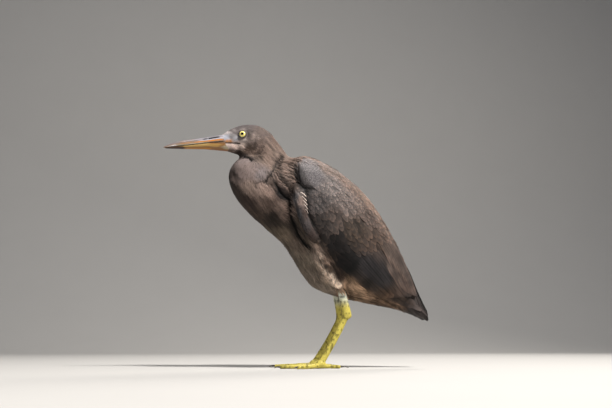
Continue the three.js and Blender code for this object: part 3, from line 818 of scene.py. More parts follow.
@dataclass(frozen=True)
class Scales:
    """The colour and the scales of the bare legs and toes, with heights and sizes in millimetres."""

    pale: Triple = (0.58, 0.60, 0.50)
    green: Triple = (0.52, 0.44, 0.09)
    pale_from: tuple[float, float] = (80.0, 98.0)
    foot_top: tuple[float, float] = (8.0, 12.0)
    foot: tuple[float, float] = (30.0, 22.0)
    ankle: float = 72.0
    ankle_swell: float = 1.3
    ring: float = 3.1
    toe_ring: float = 2.6
    depth: float = 0.55

    def colour(self, points: Array) -> Array:
        """Pale greenish grey on the shanks and yellow-green on the tarsi and toes."""
        share = smooth(points[:, 2] / MM, *self.pale_from)[:, None]
        mottle = lattice_noise(points / MM / np.array([2.2, 2.2, 3.2]))[:, None]
        plain = np.array(self.green) * (1 - share) + np.array(self.pale) * share
        return plain * (1.15 - 0.75 * smooth(mottle, 0.45, 0.85))

    def relief(self, points: Array, normals: Array) -> Array:
        """How far the leg's scales stand out at each vertex."""
        height = points[:, 2] / MM
        upper = smooth(height, *self.foot_top)
        ring = 0.5 + 0.5 * np.cos(2 * math.pi * height / self.ring)
        front = smooth(-normals[:, 0], -0.2, 0.5)
        foot_x, foot_y = self.foot
        across = np.hypot(points[:, 0] - ZERO_X - foot_x * MM, np.abs(points[:, 1]) - foot_y * MM) / MM
        toe = 0.5 + 0.5 * np.cos(2 * math.pi * across / self.toe_ring)
        top = smooth(normals[:, 2], 0.1, 0.6)
        joint = self.ankle_swell * np.exp(-(((height - self.ankle) / 8) ** 2))
        shank_scales = front * (0.35 - 0.55 * (1 - ring) ** 3)
        toe_scales = top * (0.3 - 0.5 * (1 - toe) ** 3)
        return (upper * shank_scales + (1 - upper) * toe_scales + joint) * self.depth * MM


@dataclass
class Skin:
    """The bird's one skin, from brow to toes, inside its coat."""

    voxel: float = 1.8 * MM
    leg_voxel: float = 0.95 * MM
    grow: float = 0.45 * MM
    thin_share: float = 0.3
    undercoat_shade: float = 0.7
    furrow_edge: float = 0.85
    face: Triple = (-104.0, 0.0, 322.0)
    face_reach: float = 26.0 * MM
    thigh_reach: float = 14.0 * MM
    sole: float = 1.2 * MM
    probe: float = 0.2 * MM
    even_depth: int = 14
    even_leg: int = 80
    scales: Scales = Scales()
    nodes: NodeMap = field(default_factory=lambda: NodeMap(BODY_NODES + LEG_NODES))

    def body(self, plumage: Plumage) -> Draft:
        """The skin of the trunk, neck, head, wings and tail, sunk below the coat."""
        bm = union_of(BODY_NODES, self.voxel, self.grow)
        points = vertex_array(bm)
        owners = self.nodes.nearest(points)
        kinds = [kind(name) for name in self.nodes.names]
        depths = np.array([COAT_DEPTH.get(k, 1.0) for k in kinds])[owners] * MM
        rounds = np.array([SMOOTHING.get(k, 8) for k in kinds], float)[owners]
        most = int(rounds.max())
        points = relaxed(bm, points, rounds / most, most)
        depths = relaxed(bm, depths[:, None], np.ones(len(depths)), self.even_depth)[:, 0]
        set_places(bm, points)
        normals = normal_array(bm)
        tree = BVHTree.FromBMesh(bm)
        inner = (points - normals * self.probe).tolist()
        thick = [tree.ray_cast(p, n)[3] or 0.1 for p, n in zip(inner, (-normals).tolist())]
        depths = np.minimum(depths, np.array(thick) * self.thin_share)
        depths = relaxed(bm, depths[:, None], np.ones(len(depths)), 4)[:, 0]
        depths += plumage.furrows(points, normals)[0]
        points = relaxed(bm, points - normals * depths[:, None], np.ones(len(points)), 2)
        set_places(bm, points)
        self._refine_face(bm)
        return bm

    def _refine_face(self, bm: Draft) -> None:
        """Splits the faces round the eyes and lores, then shapes the sockets and lids."""
        fine = place(*self.face)
        edges = []
        for edge in bm.edges:
            start = edge.verts[0].co
            if abs(start.x - fine.x) < self.face_reach and start.z > fine.z - self.face_reach:
                edges.append(edge)
        bmesh.ops.subdivide_edges(bm, edges=edges, cuts=1, use_grid_fill=True)
        bm.normal_update()
        for sign in SIDES.values():
            Socket(sign).shape(bm)

    def legs(self) -> Draft:
        """The bare legs and feet with their scales."""
        bm = union_of(LEG_NODES, self.leg_voxel, self.grow * 0.6, self.thigh_reach)
        points = vertex_array(bm)
        weights = 0.07 + 0.93 * np.exp(-(((points[:, 2] / MM - self.scales.ankle) / 10.0) ** 2))
        points = relaxed(bm, points, weights, self.even_leg)
        set_places(bm, points)
        normals = normal_array(bm)
        relief = self.scales.relief(points, normals) * (points[:, 2] >= self.sole)
        points = points + normals * relief[:, None]
        points[:, 2] = np.maximum(points[:, 2], 0.0)
        set_places(bm, points)
        return bm

    def build(self, plumage: Plumage, material: Material) -> Surface:
        """The skin as one piece.

        Args:
            plumage: gives the skin the markings of the coat.
            material: the skin's finish.

        Returns:
            Its surface, for the coat.
        """
        body = self.body(plumage)
        mesh = mesh_of(self.legs(), "skin")
        body_count = len(body.verts)
        body.from_mesh(mesh)
        bmesh.ops.triangulate(body, faces=body.faces)
        body.normal_update()
        points = vertex_array(body)
        normals = normal_array(body)
        body.to_mesh(mesh)
        body.free()
        bare = bare_share(points)
        # painted shade: the furrows darken the skin, and skin under the coat is darker as if shaded by the
        # feathers
        light = plumage.furrows(points, normals)[2] * (self.undercoat_shade * (1 - bare) + bare)
        tint = plumage.colours(points) * light[:, None]
        is_leg = np.arange(len(points)) >= body_count
        tint[is_leg] = self.scales.colour(points[is_leg])
        write_colour(mesh, "tint", tint)
        write_value(mesh, "bare", np.maximum(bare, is_leg))
        write_value(mesh, "leg", is_leg)
        replacing(finished("skin", mesh, material), "plumage", *BODY_NODES, *LEG_NODES)
        faces = triangles(mesh)
        centres = points[faces].mean(1) + unit(normals[faces].mean(1)) * 2 * MM
        owners = self.nodes.nearest(centres)
        owners[is_leg[faces].any(1)] = -1
        surface = Surface(mesh, owners)
        surface.read_unwrap(mesh, "OFBake")
        surface.furrow = plumage.furrows(surface.centres, surface.normals)[1] > self.furrow_edge
        return surface


def unwrap(piece: Piece) -> None:
    """Gives a piece the UV map named OFBake, unwrapped by smart projection."""
    piece.data.uv_layers.active = piece.data.uv_layers.new(name="OFBake")
    bpy.context.view_layer.objects.active = piece
    piece.select_set(True)
    bpy.ops.object.mode_set(mode="EDIT")
    bpy.ops.mesh.select_all(action="SELECT")
    bpy.ops.uv.smart_project(angle_limit=math.radians(70), island_margin=0.001)
    bpy.ops.object.mode_set(mode="OBJECT")
    piece.select_set(False)


def replacing(piece: Piece, slot: str, *nodes: str) -> Piece:
    """Unwraps a piece that stands for some CAD nodes and hides those nodes."""
    unwrap(piece)
    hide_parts(*nodes)
    return piece


def bare_share(points: Array) -> Array:
    """1 on the lores, the gape and the eyelids, which carry no feathers, and 0 elsewhere."""
    folded = stations(points)
    lore = segment_distance(folded, (-128, 6, 320), (-106, 11, 322))
    gape = segment_distance(folded, (-128, 6, 313), (-98, 13, 313.5))
    lid = np.linalg.norm(folded - np.array([EYE_STATION, 14.5, 325.3]), axis=1)
    share = np.maximum(1 - smooth(lore, 4.2, 5.4), 1 - smooth(gape, 1.2, 2.0))
    return np.maximum(share, 1 - smooth(lid, 6.4, 7.4))


@dataclass(frozen=True)
class Socket:
    """The lids round one eye, shaped out of the skin."""

    side: float
    ball: float = 6.2 * MM
    opening: float = 4.25 * MM
    lid: float = 0.7 * MM
    rim: float = 1.5 * MM
    clear: float = 0.25 * MM
    sunk: float = 1.6 * MM
    ramp: float = 0.5 * MM
    whole: float = 6.0 * MM
    reach: float = 11.0 * MM

    def shape(self, bm: Draft) -> None:
        """Sinks the skin behind the iris and lays it over the eyeball round it.

        Args:
            bm: the skin, with fine faces round the eyes.
        """
        centre, axis = eye_centre(self.side), eye_axis(self.side)
        for vert in bm.verts:
            out = vert.co - centre
            along = out.dot(axis)
            radius = (out - along * axis).length
            if radius > self.reach or out.length > self.reach * 1.4 or along < -1 * MM:
                continue
            ball = math.sqrt(self.ball**2 - min(radius, self.ball * 0.97) ** 2)
            swell = self.lid * math.exp(-(((radius - self.opening - self.rim * 0.5) / self.rim) ** 2))
            lying = ball + swell + self.clear
            if radius < self.opening:
                lying = ball - self.sunk * min(1.0, (self.opening - radius) / self.ramp)
            share = 1.0 - min(1.0, max(0.0, (radius - self.whole) / (self.reach - self.whole)))
            share = share * share * (3 - 2 * share)
            vert.co += axis * (lying - along) * share


def eye_centre(side: float) -> Vector:
    """The middle of the eyeball on one side."""
    return Vector((EYE_CENTRE.x, abs(EYE_CENTRE.y) * side, EYE_CENTRE.z))


def eye_axis(side: float) -> Vector:
    """Which way an eye looks: out, a little forward and down."""
    return Vector((-0.24, side, 0.03)).normalized()


# ---------- feathers ----------


class Shape(Enum):
    """The outline of a feather's vane."""

    TUFT = "tuft"
    ROUND = "round"
    LANCE = "lance"
    BLADE = "blade"


def outline(shape: Shape, s: Array) -> Array:
    """Half the width of a vane at shares of its length, as a share of its widest."""
    if shape is Shape.TUFT:
        return np.clip(np.sin(math.pi * np.clip(s, 0, 1) ** 0.8), 0, 1) ** 0.7
    if shape is Shape.ROUND:
        return smooth(s, -0.25, 0.55) * np.clip(1 - np.clip((s - 0.6) / 0.4, 0, 1) ** 2.6, 0, 1) ** 0.55
    if shape is Shape.LANCE:
        return smooth(s, -0.15, 0.3) * np.clip(1 - np.clip((s - 0.25) / 0.75, 0, 1) ** 1.8, 0, 1) ** 0.9
    return smooth(s, -0.3, 0.25) * np.clip(1 - np.clip((s - 0.8) / 0.2, 0, 1) ** 2.4, 0, 1) ** 0.5


@dataclass(frozen=True)
class Vane:
    """The mesh of one feather: a sphere's rings and poles pressed flat, with edges and two faces.

    The sphere's poles become the root and the tip, which turns it inside out, so its faces are turned back.
    """

    around: int
    rings: int
    crowding: float = 1.3

    def mesh(self) -> tuple[Array, Array, Array, Array]:
        """The vane's parts.

        Returns:
            For every vertex its row, its place across from -1 to 1, and its side: 1 above, -1 below, 0 on an
            edge. Last come the triangles.
        """
        bm = bmesh.new()
        bmesh.ops.create_uvsphere(bm, u_segments=self.around, v_segments=self.rings + 1, radius=1.0)
        bmesh.ops.triangulate(bm, faces=bm.faces)
        turn = [math.acos(max(-1.0, min(1.0, v.co.z))) for v in bm.verts]
        row = np.rint(np.array(turn) / math.pi * (self.rings + 1)).astype(int)
        flat = np.array([(v.co.x, v.co.y) for v in bm.verts])
        length = np.linalg.norm(flat, axis=1)
        ring = length > 1e-5
        across = np.where(ring, flat[:, 0] / np.maximum(length, 1e-5), 0.0)
        above = np.where(ring, flat[:, 1] / np.maximum(length, 1e-5), 0.0)
        faces = np.array([[v.index for v in reversed(f.verts)] for f in bm.faces])
        bm.free()
        return row, across, above, faces


@dataclass(frozen=True)
class Cut:
    """How the feathers of one stretch of the coat are cut. Lengths are in millimetres."""

    shape: Shape
    vane: Vane
    width: float
    lift: float
    camber: float = 0.1
    thick: float = 0.14
    ragged: float = 0.15
    stray: float = 0.12
    root: float = 0.6
    graded: bool = False


@dataclass
class Coat:
    """Plants feathers on the skin."""

    surface: Surface
    plumage: Plumage
    patch: float = 0.003
    overhang: float = 1.0 * MM
    edge_turn: float = 0.75
    least_facing: float = 0.3
    run_rows: int = 6
    thinning: float = 0.6
    edge_share: float = 0.9
    tint_share: float = 0.7

    def paths(self, roots: Array, lengths: Array, shares: Array, ways: Array | None,
              turn: Array) -> tuple[Array, Array, Array, Array]:
        """Where the middle line of every feather runs.

        Args:
            roots: the places of the roots.
            lengths: how long each feather is.
            shares: the places along each, as shares of its length.
            ways: the direction of each, where it doesn't follow the lie of the coat.
            turn: how far each strays from its direction.

        Returns:
            The places, the normals, the directions and the skin's triangles, each with one row for a feather.
        """
        points, normals, index = self.surface.nearest(roots)
        line, ups, heads, under = [points], [normals], [], [index]
        for share in np.diff(shares):
            if ways is None:
                way = self.plumage.ways(points, normals)
            else:
                way = unit(ways - (ways * normals).sum(1, keepdims=True) * normals)
            way = unit(way + turn * np.cross(normals, way))
            heads.append(way)
            ahead = points + way * lengths[:, None] * share
            points, found, index = self.surface.nearest(ahead)
            normals = unit(normals * 0.4 + found * 0.6)
            if ways is not None:
                turned = (found * ups[-1]).sum(1) < self.edge_turn
                beyond = turned | (np.linalg.norm(points - ahead, axis=1) > self.overhang)
                points[beyond], normals[beyond] = ahead[beyond], ups[-1][beyond]
            line.append(points)
            ups.append(normals)
            under.append(index)
        heads.append(heads[-1])
        return np.stack(line, 1), np.stack(ups, 1), np.stack(heads, 1), np.stack(under, 1)

    def free_run(self, roots: Array, lengths: Array, onto: Array, turn: Array) -> Array:
        """The share of its length that each feather can run before a furrow or another part stops it.

        Args:
            roots: the places of the roots.
            lengths: how long each feather would be.
            onto: the numbers of the CAD nodes over which it may lie.
            turn: how far each strays from its direction.

        Returns:
            A share from 0 to 1 for each.
        """
        rows = self.run_rows
        under = self.paths(roots, lengths, np.linspace(0, 1, rows), None, turn)[3]
        facing = (self.surface.normals[under] * self.surface.normals[under[:, :1]]).sum(-1)
        blocked = self.surface.furrow[under] | (facing < self.least_facing)
        blocked |= ~np.isin(self.surface.regions[under], onto)
        blocked = np.concatenate([blocked, np.ones((len(roots), 1), bool)], 1)
        return np.minimum(blocked.argmax(1) - 0.5, rows - 1) / (rows - 1)

    def _tints(self, line: Array, ups: Array, row: Array, graded: bool) -> Array:
        """The colour of every vertex, with the painted shade of the furrows.

        Args:
            line: the places along each feather.
            ups: the normals there.
            row: the row of each vertex of one feather.
            graded: whether the colour changes along a feather, or is that of one place on it.

        Returns:
            One colour for each vertex.
        """
        rows = line.shape[1]
        chosen = np.arange(rows) if graded else np.full(1, int(rows * self.tint_share))
        places = line[:, chosen].reshape(-1, 3)
        light = self.plumage.furrows(places, ups[:, chosen].reshape(-1, 3))[2]
        tint = (self.plumage.colours(places) * light[:, None]).reshape(len(line), len(chosen), 3)
        return tint[:, row if graded else np.zeros(len(row), int)].reshape(-1, 3)

    def plant(self, roots: Array, lengths: Array, cut: Cut, dice: Dice,
              ways: Array | None = None, turn: Array | None = None, raised: Array | float = 0.0) -> Sheaf:
        """Feathers as one set of arrays.

        Args:
            roots: the places of the roots.
            lengths: how long each feather is.
            cut: how they are cut.
            dice: the source of chance.
            ways: the direction of each, where it doesn't follow the lie of the coat.
            turn: how far each strays from its direction, where that is settled already.
            raised: how far each whole feather lies above the skin, in millimetres.

        Returns:
            The feathers.
        """
        row, across, above, faces = cut.vane.mesh()
        rows = cut.vane.rings + 2
        shares = 1 - (1 - np.linspace(0, 1, rows)) ** cut.vane.crowding
        count = len(roots)
        if turn is None:
            turn = dice.normal(0, cut.stray, (count, 1))
        line, ups, heads, under = self.paths(roots, lengths, shares, ways, turn)
        s = shares[row]
        edge = np.abs(across) > self.edge_share
        wide = outline(cut.shape, s) * across
        wide = wide * (1 + cut.ragged * dice.normal(0, 1, (count, len(row))) * edge)
        half = (lengths * cut.width)[:, None]
        sideways = np.cross(ups, heads)
        tip = cut.lift * MM * (1 + 0.25 * dice.normal(0, 1, (count, 1)))
        height = -cut.root * MM + (tip + cut.root * MM) * s**1.15
        height = height - cut.camber * half * wide**2 + above * cut.thick * MM * (1 - self.thinning * s) / 2
        height = height + (np.zeros(count) + raised)[:, None] * MM * smooth(s, 0.04, 0.4)
        along = cut.ragged * 0.35 * dice.normal(0, 1, (count, len(row))) * half * edge
        points = line[:, row] + sideways[:, row] * (wide * half)[..., None]
        points = points + ups[:, row] * height[..., None] + heads[:, row] * along[..., None]
        slope = (tip + cut.root * MM) / lengths[:, None]
        normals = ups[:, row] + sideways[:, row] * (2 * cut.camber * wide)[..., None]
        normals = unit(normals - heads[:, row] * slope[..., None])
        vane = np.stack([np.tile(0.5 + 0.5 * across, count), np.tile(s, count)], 1)
        base = np.repeat(self.surface.unwrap[under[:, 0]], len(row), 0)
        shift = (np.arange(count) * len(row))[:, None, None]
        return Sheaf(
            points=points.reshape(-1, 3),
            faces=(faces[None] + shift).reshape(-1, 3),
            tint=self._tints(line, ups, row, cut.graded),
            tone=np.repeat(dice.random(count), len(row)),
            vane=vane,
            patch=base + (vane - 0.5) * self.patch,
            normals=normals.reshape(-1, 3),
            below=np.tile(above[faces].mean(1) < 0, count),
        )


def joined(sheaves: Sequence[Sheaf]) -> Sheaf:
    """Several sets of feathers as one."""
    starts = np.cumsum([0] + [len(s.points) for s in sheaves[:-1]])
    parts = {f.name: np.concatenate([getattr(s, f.name) for s in sheaves]) for f in fields(Sheaf)}
    parts["faces"] = np.concatenate([s.faces + start for s, start in zip(sheaves, starts)])
    return Sheaf(**parts)


HAIR = Vane(4, 3)
FINE = Vane(4, 4)
MEDIUM = Vane(6, 6, 1.6)
BROAD = Vane(8, 8, 1.8)
LONG = Vane(8, 18)

SCAPULAR_LINE = (
    (-30, 290), (5, 285), (25, 262), (45, 228), (62, 215), (92, 203), (105, 180), (118, 150), (150, 105),
)


class Zone(Enum):
    """A part of the bird whose feathers are cut alike."""

    HEAD = "head"
    NAPE = "nape"
    NECK = "neck"
    SHOULDER = "shoulder"
    BREAST = "breast"
    BELLY = "belly"
    UNDERTAIL = "undertail"
    BACK = "back"
    WING = "wing"
    HAND = "hand"
    THIGH = "thigh"
    TAIL = "tail"


def zones(surface: Surface, nodes: NodeMap) -> dict[Zone, Array]:
    """Which triangles of the skin belong to each zone. Its bounds are stations in millimetres.

    Args:
        surface: the skin.
        nodes: tells which CAD node each triangle belongs to.

    Returns:
        For each zone, whether each triangle is in it.
    """
    folded = stations(surface.centres)
    x, y, z = folded.T
    lines = np.array(SCAPULAR_LINE, float)
    high = z > np.interp(x, lines[:, 0], lines[:, 1])
    on = {name: np.isin(surface.regions, nodes.named(name)) for name in COAT_DEPTH}
    body = on["trunk"] | (on["neck"] & (x > -70) & (z < 262))
    shoulder = (on["trunk"] | on["neck"]) & (x > -50) & (z > 232) & (y > 12) & ~high
    shoulder &= z > 259 - (x + 56) * 1.0
    back = (on["trunk"] | on["wing"]) & high & (x > -32)
    under = on["trunk"] & (x > 46) & ~back
    front = body & ~shoulder & ~back & ~under
    belly = front & (z < 188 - (x + 40) * 0.3) & (x > -48)
    nape = (z > 262) & (z > 302 + (x + 76) * 0.2) & (x > -76)
    return {
        Zone.HEAD: on["head"] & (x < -58),
        Zone.NAPE: (on["head"] & (x >= -58)) | (on["neck"] & nape),
        Zone.NECK: on["neck"] & ~body & ~shoulder & ~nape,
        Zone.SHOULDER: shoulder,
        Zone.BREAST: front & ~belly,
        Zone.BELLY: belly,
        Zone.UNDERTAIL: under,
        Zone.BACK: back,
        Zone.WING: on["wing"] & ~back,
        Zone.HAND: on["wing_hand"],
        Zone.THIGH: on["thigh"],
        Zone.TAIL: on["tail"],
    }


@dataclass(frozen=True)
class Feathering:
    """The finish of one stretch of feathers."""

    fringe: float = 0.2
    fringe_light: Triple = (2.3, 2.05, 1.9)
    barbs: float = 22.0
    shaft: float = 0.12
    tone: float = 0.3
    roughness: float = 0.7
    sheen: float = 0.04
    bump: float = 0.2


@dataclass(frozen=True)
class Tract:
    """One stretch of scattered feathers, which becomes one piece."""

    name: str
    zone: Zone
    onto: tuple[str, ...]
    cut: Cut
    gap: float
    finish: Feathering = Feathering()
    grow: float = 1.0

    def sheaf(self, coat: Coat, nodes: NodeMap, mask: Array, seed: int) -> Sheaf:
        """The feathers of this tract.

        Args:
            coat: plants them.
            nodes: tells which triangles the feathers may lie over.
            mask: the triangles that carry them.
            seed: the start of their chance.

        Returns:
            The feathers.
        """
        dice = np.random.default_rng(seed)
        surface = coat.surface
        mask = mask & (bare_share(surface.centres) < 0.5) & ~surface.furrow
        gap = np.ones(len(mask))
        chosen = np.flatnonzero(mask)
        gap[chosen] = coat.plumage.lengths(surface.centres[chosen]) * self.gap
        roots = surface.scatter(mask, gap, dice)
        lengths = coat.plumage.lengths(roots) * self.grow * (1 + 0.12 * dice.normal(0, 1, len(roots)))
        turn = dice.normal(0, self.cut.stray, (len(roots), 1))
        run = coat.free_run(roots, lengths, nodes.named(*self.onto), turn)
        kept = run > 0.25
        return coat.plant(roots[kept], (lengths * run)[kept], self.cut, dice, turn=turn[kept])


BODY = ("trunk", "neck", "thigh", "tail", "shank")
TRACTS = (
    Tract("coat_head", Zone.HEAD, ("head", "neck"),
          Cut(Shape.TUFT, HAIR, 0.105, 0.28, ragged=0.2, root=0.3), 0.13, Feathering(tone=0.22)),
    Tract("coat_nape", Zone.NAPE, ("head", "neck", "trunk"),
          Cut(Shape.TUFT, FINE, 0.07, 0.5, stray=0.1), 0.078, Feathering(tone=0.25, fringe=0.3)),
    Tract("coat_neck", Zone.NECK, ("head", "neck", "trunk"),
          Cut(Shape.TUFT, FINE, 0.085, 0.45, stray=0.09, root=0.35), 0.094, Feathering(tone=0.14)),
    Tract("coat_shoulder", Zone.SHOULDER, ("neck", "trunk", "wing"),
          Cut(Shape.LANCE, MEDIUM, 0.11, 1.9, camber=0.4, stray=0.12, ragged=0.2), 0.125,
          Feathering(fringe=0.6)),
    Tract("coat_breast", Zone.BREAST, BODY,
          Cut(Shape.TUFT, FINE, 0.058, 0.9, stray=0.1, ragged=0.2), 0.056, Feathering(tone=0.35, fringe=0.3)),
    Tract("coat_belly", Zone.BELLY, BODY,
          Cut(Shape.TUFT, FINE, 0.055, 1.2, stray=0.12, ragged=0.25), 0.062, Feathering(tone=0.35)),
    Tract("coat_undertail", Zone.UNDERTAIL, BODY,
          Cut(Shape.LANCE, FINE, 0.062, 1.2, stray=0.08), 0.066, Feathering(tone=0.5)),
    Tract("coat_back", Zone.BACK, ("trunk", "wing"),
          Cut(Shape.ROUND, MEDIUM, 0.15, 1.0, stray=0.07, ragged=0.05), 0.15,
          Feathering(fringe=0.6, shaft=0.25, tone=0.35)),
    Tract("coat_hands", Zone.HAND, ("wing_hand", "wing"),
          Cut(Shape.ROUND, FINE, 0.15, 0.3, stray=0.06, ragged=0.08), 0.115, grow=0.75),
    Tract("coat_thighs", Zone.THIGH, BODY,
          Cut(Shape.TUFT, FINE, 0.065, 2.0, stray=0.3, ragged=0.35, graded=True), 0.068,
          Feathering(tone=0.8, fringe=0.5)),
    Tract("coat_tail", Zone.TAIL, BODY, Cut(Shape.ROUND, MEDIUM, 0.16, 0.8, stray=0.08), 0.2),
)


@dataclass(frozen=True)
class Row:
    """A band of wing coverts, between two distances down the wing, in millimetres."""

    start: float
    stop: float
    apart: float
    length: float
    cut: Cut


COVERTS = (
    Row(-20, 34, 1.9, 9.0, Cut(Shape.ROUND, MEDIUM, 0.17, 0.22, camber=0.07, ragged=0.05, stray=0.07)),
    Row(28, 70, 3.0, 18.0, Cut(Shape.ROUND, MEDIUM, 0.13, 0.35, camber=0.07, ragged=0.04, stray=0.07)),
    Row(62, 100, 4.6, 27.0, Cut(Shape.ROUND, BROAD, 0.14, 0.5, camber=0.08, ragged=0.03, stray=0.07)),
    Row(90, 126, 5.6, 34.0, Cut(Shape.ROUND, BROAD, 0.125, 0.8, camber=0.08, ragged=0.03, stray=0.05)),
)
CLEAR_OF_WING = 120.0
WING_ORIGIN = (-14.0, 284.0)
WING_DOWN = (0.34, -0.94)


@dataclass(frozen=True)
class Fan:
    """Long feathers side by side, from a line of roots to a line of tips, both seen from the side."""

    name: str
    roots: tuple[tuple[float, float], tuple[float, float]]
    tips: tuple[tuple[float, float], tuple[float, float]]
    count: int
    half: float
    raised: tuple[float, float]


FANS = (
    Fan("primaries", ((58, 122), (84, 150)), ((134, 79), (176, 74)), 9, 7.0, (0.2, 0.8)),
    Fan("secondaries", ((22, 160), (94, 172)), ((104, 88), (152, 100)), 16, 7.0, (0.9, 2.2)),
    Fan("tertials", ((94, 186), (110, 188)), ((146, 106), (159, 101)), 6, 6.5, (2.3, 3.2)),
)
DOWN = Fan("down", ((-18, 237), (-11, 214)), ((-9, 230), (-5, 207)), 5, 0.42, (1.4, 1.4))
DOWN_COLOUR = (0.58, 0.50, 0.45)


@dataclass
class Wing:
    """The coverts and long feathers of one wing."""

    side: float
    coat: Coat
    covered: Array

    def on_skin(self, flat: Array) -> tuple[Array, Array]:
        """Places on the wing's outer face.

        Args:
            flat: stations along the bird and up.

        Returns:
            The places, and the numbers of the stations that have one.
        """
        points, hits = [], []
        for number, (x, z) in enumerate(flat.tolist()):
            start = place(x, CLEAR_OF_WING * self.side, z)
            hit = self.coat.surface.tree.ray_cast(start, Vector((0, -self.side, 0)))[0]
            if hit is not None:
                points.append(tuple(hit))
                hits.append(number)
        return np.array(points, float), np.array(hits, int)

    def coverts(self, row: Row, dice: Dice) -> Sheaf:
        """One band of coverts."""
        centres = self.coat.surface.centres
        flat = stations(centres)[:, ::2] - np.array(WING_ORIGIN)
        down = flat @ np.array(WING_DOWN)
        mask = self.covered & (centres[:, 1] * self.side > 0) & (down > row.start) & (down < row.stop)
        points = self.coat.surface.scatter(mask, np.full(len(mask), row.apart * MM), dice)
        lengths = row.length * MM * (1 + 0.06 * dice.normal(0, 1, len(points)))
        return self.coat.plant(points, lengths, row.cut, dice)

    def fan(self, fan: Fan, dice: Dice) -> Sheaf:
        """One fan of long feathers."""
        share = np.linspace(0, 1, fan.count)[:, None]
        ends = [np.array(line, float) for line in (fan.roots, fan.tips)]
        roots, tips = (line[0] * (1 - share) + line[1] * share for line in ends)
        points, found = self.on_skin(roots)
        flat = (tips - roots)[found]
        share = share[found, 0]
        lengths = np.linalg.norm(flat, axis=1) * MM
        ways = unit(np.stack([flat[:, 0], np.zeros(len(flat)), flat[:, 1]], 1))
        wide = fan.half * MM / float(lengths.mean())
        cut = Cut(Shape.BLADE, LONG, wide, 1.2, camber=0.12, ragged=0.02, stray=0.0, graded=True)
        raised = fan.raised[0] + (fan.raised[1] - fan.raised[0]) * share
        return self.coat.plant(points, lengths, cut, dice, ways=ways, raised=raised)

    def down(self, dice: Dice) -> Sheaf:
        """The white down that shows behind the top of the bar."""
        sheaf = self.fan(DOWN, dice)
        sheaf.tint[:] = DOWN_COLOUR
        return sheaf


@dataclass(frozen=True)
class TailFan:
    """The long feathers of the tail."""

    count: int = 8
    spread: float = 12.0
    root: tuple[float, float] = (133.0, 165.0)
    tip: tuple[float, float] = (181.0, 66.0)
    half: float = 6.5
    raised: float = 2.6

    def sheaf(self, coat: Coat, dice: Dice) -> Sheaf:
        """The feathers, the middle ones uppermost."""
        side = np.linspace(-1, 1, self.count)
        (root_x, root_z), (tip_x, tip_z) = self.root, self.tip
        roots = np.array([place(root_x - 4 * t * t, 9 * t, root_z) for t in side])
        tips = np.array([place(tip_x - 5 * t * t, self.spread * t, tip_z + 3 * t * t) for t in side])
        lengths = np.linalg.norm(tips - roots, axis=1)
        wide = self.half * MM / float(lengths.mean())
        cut = Cut(Shape.BLADE, LONG, wide, 0.8, camber=0.1, ragged=0.02, stray=0.0, graded=True)
        raised = self.raised - 1.2 * np.abs(side)
        return coat.plant(roots, lengths, cut, dice, ways=unit(tips - roots), raised=raised)


# ---------- finishes ----------


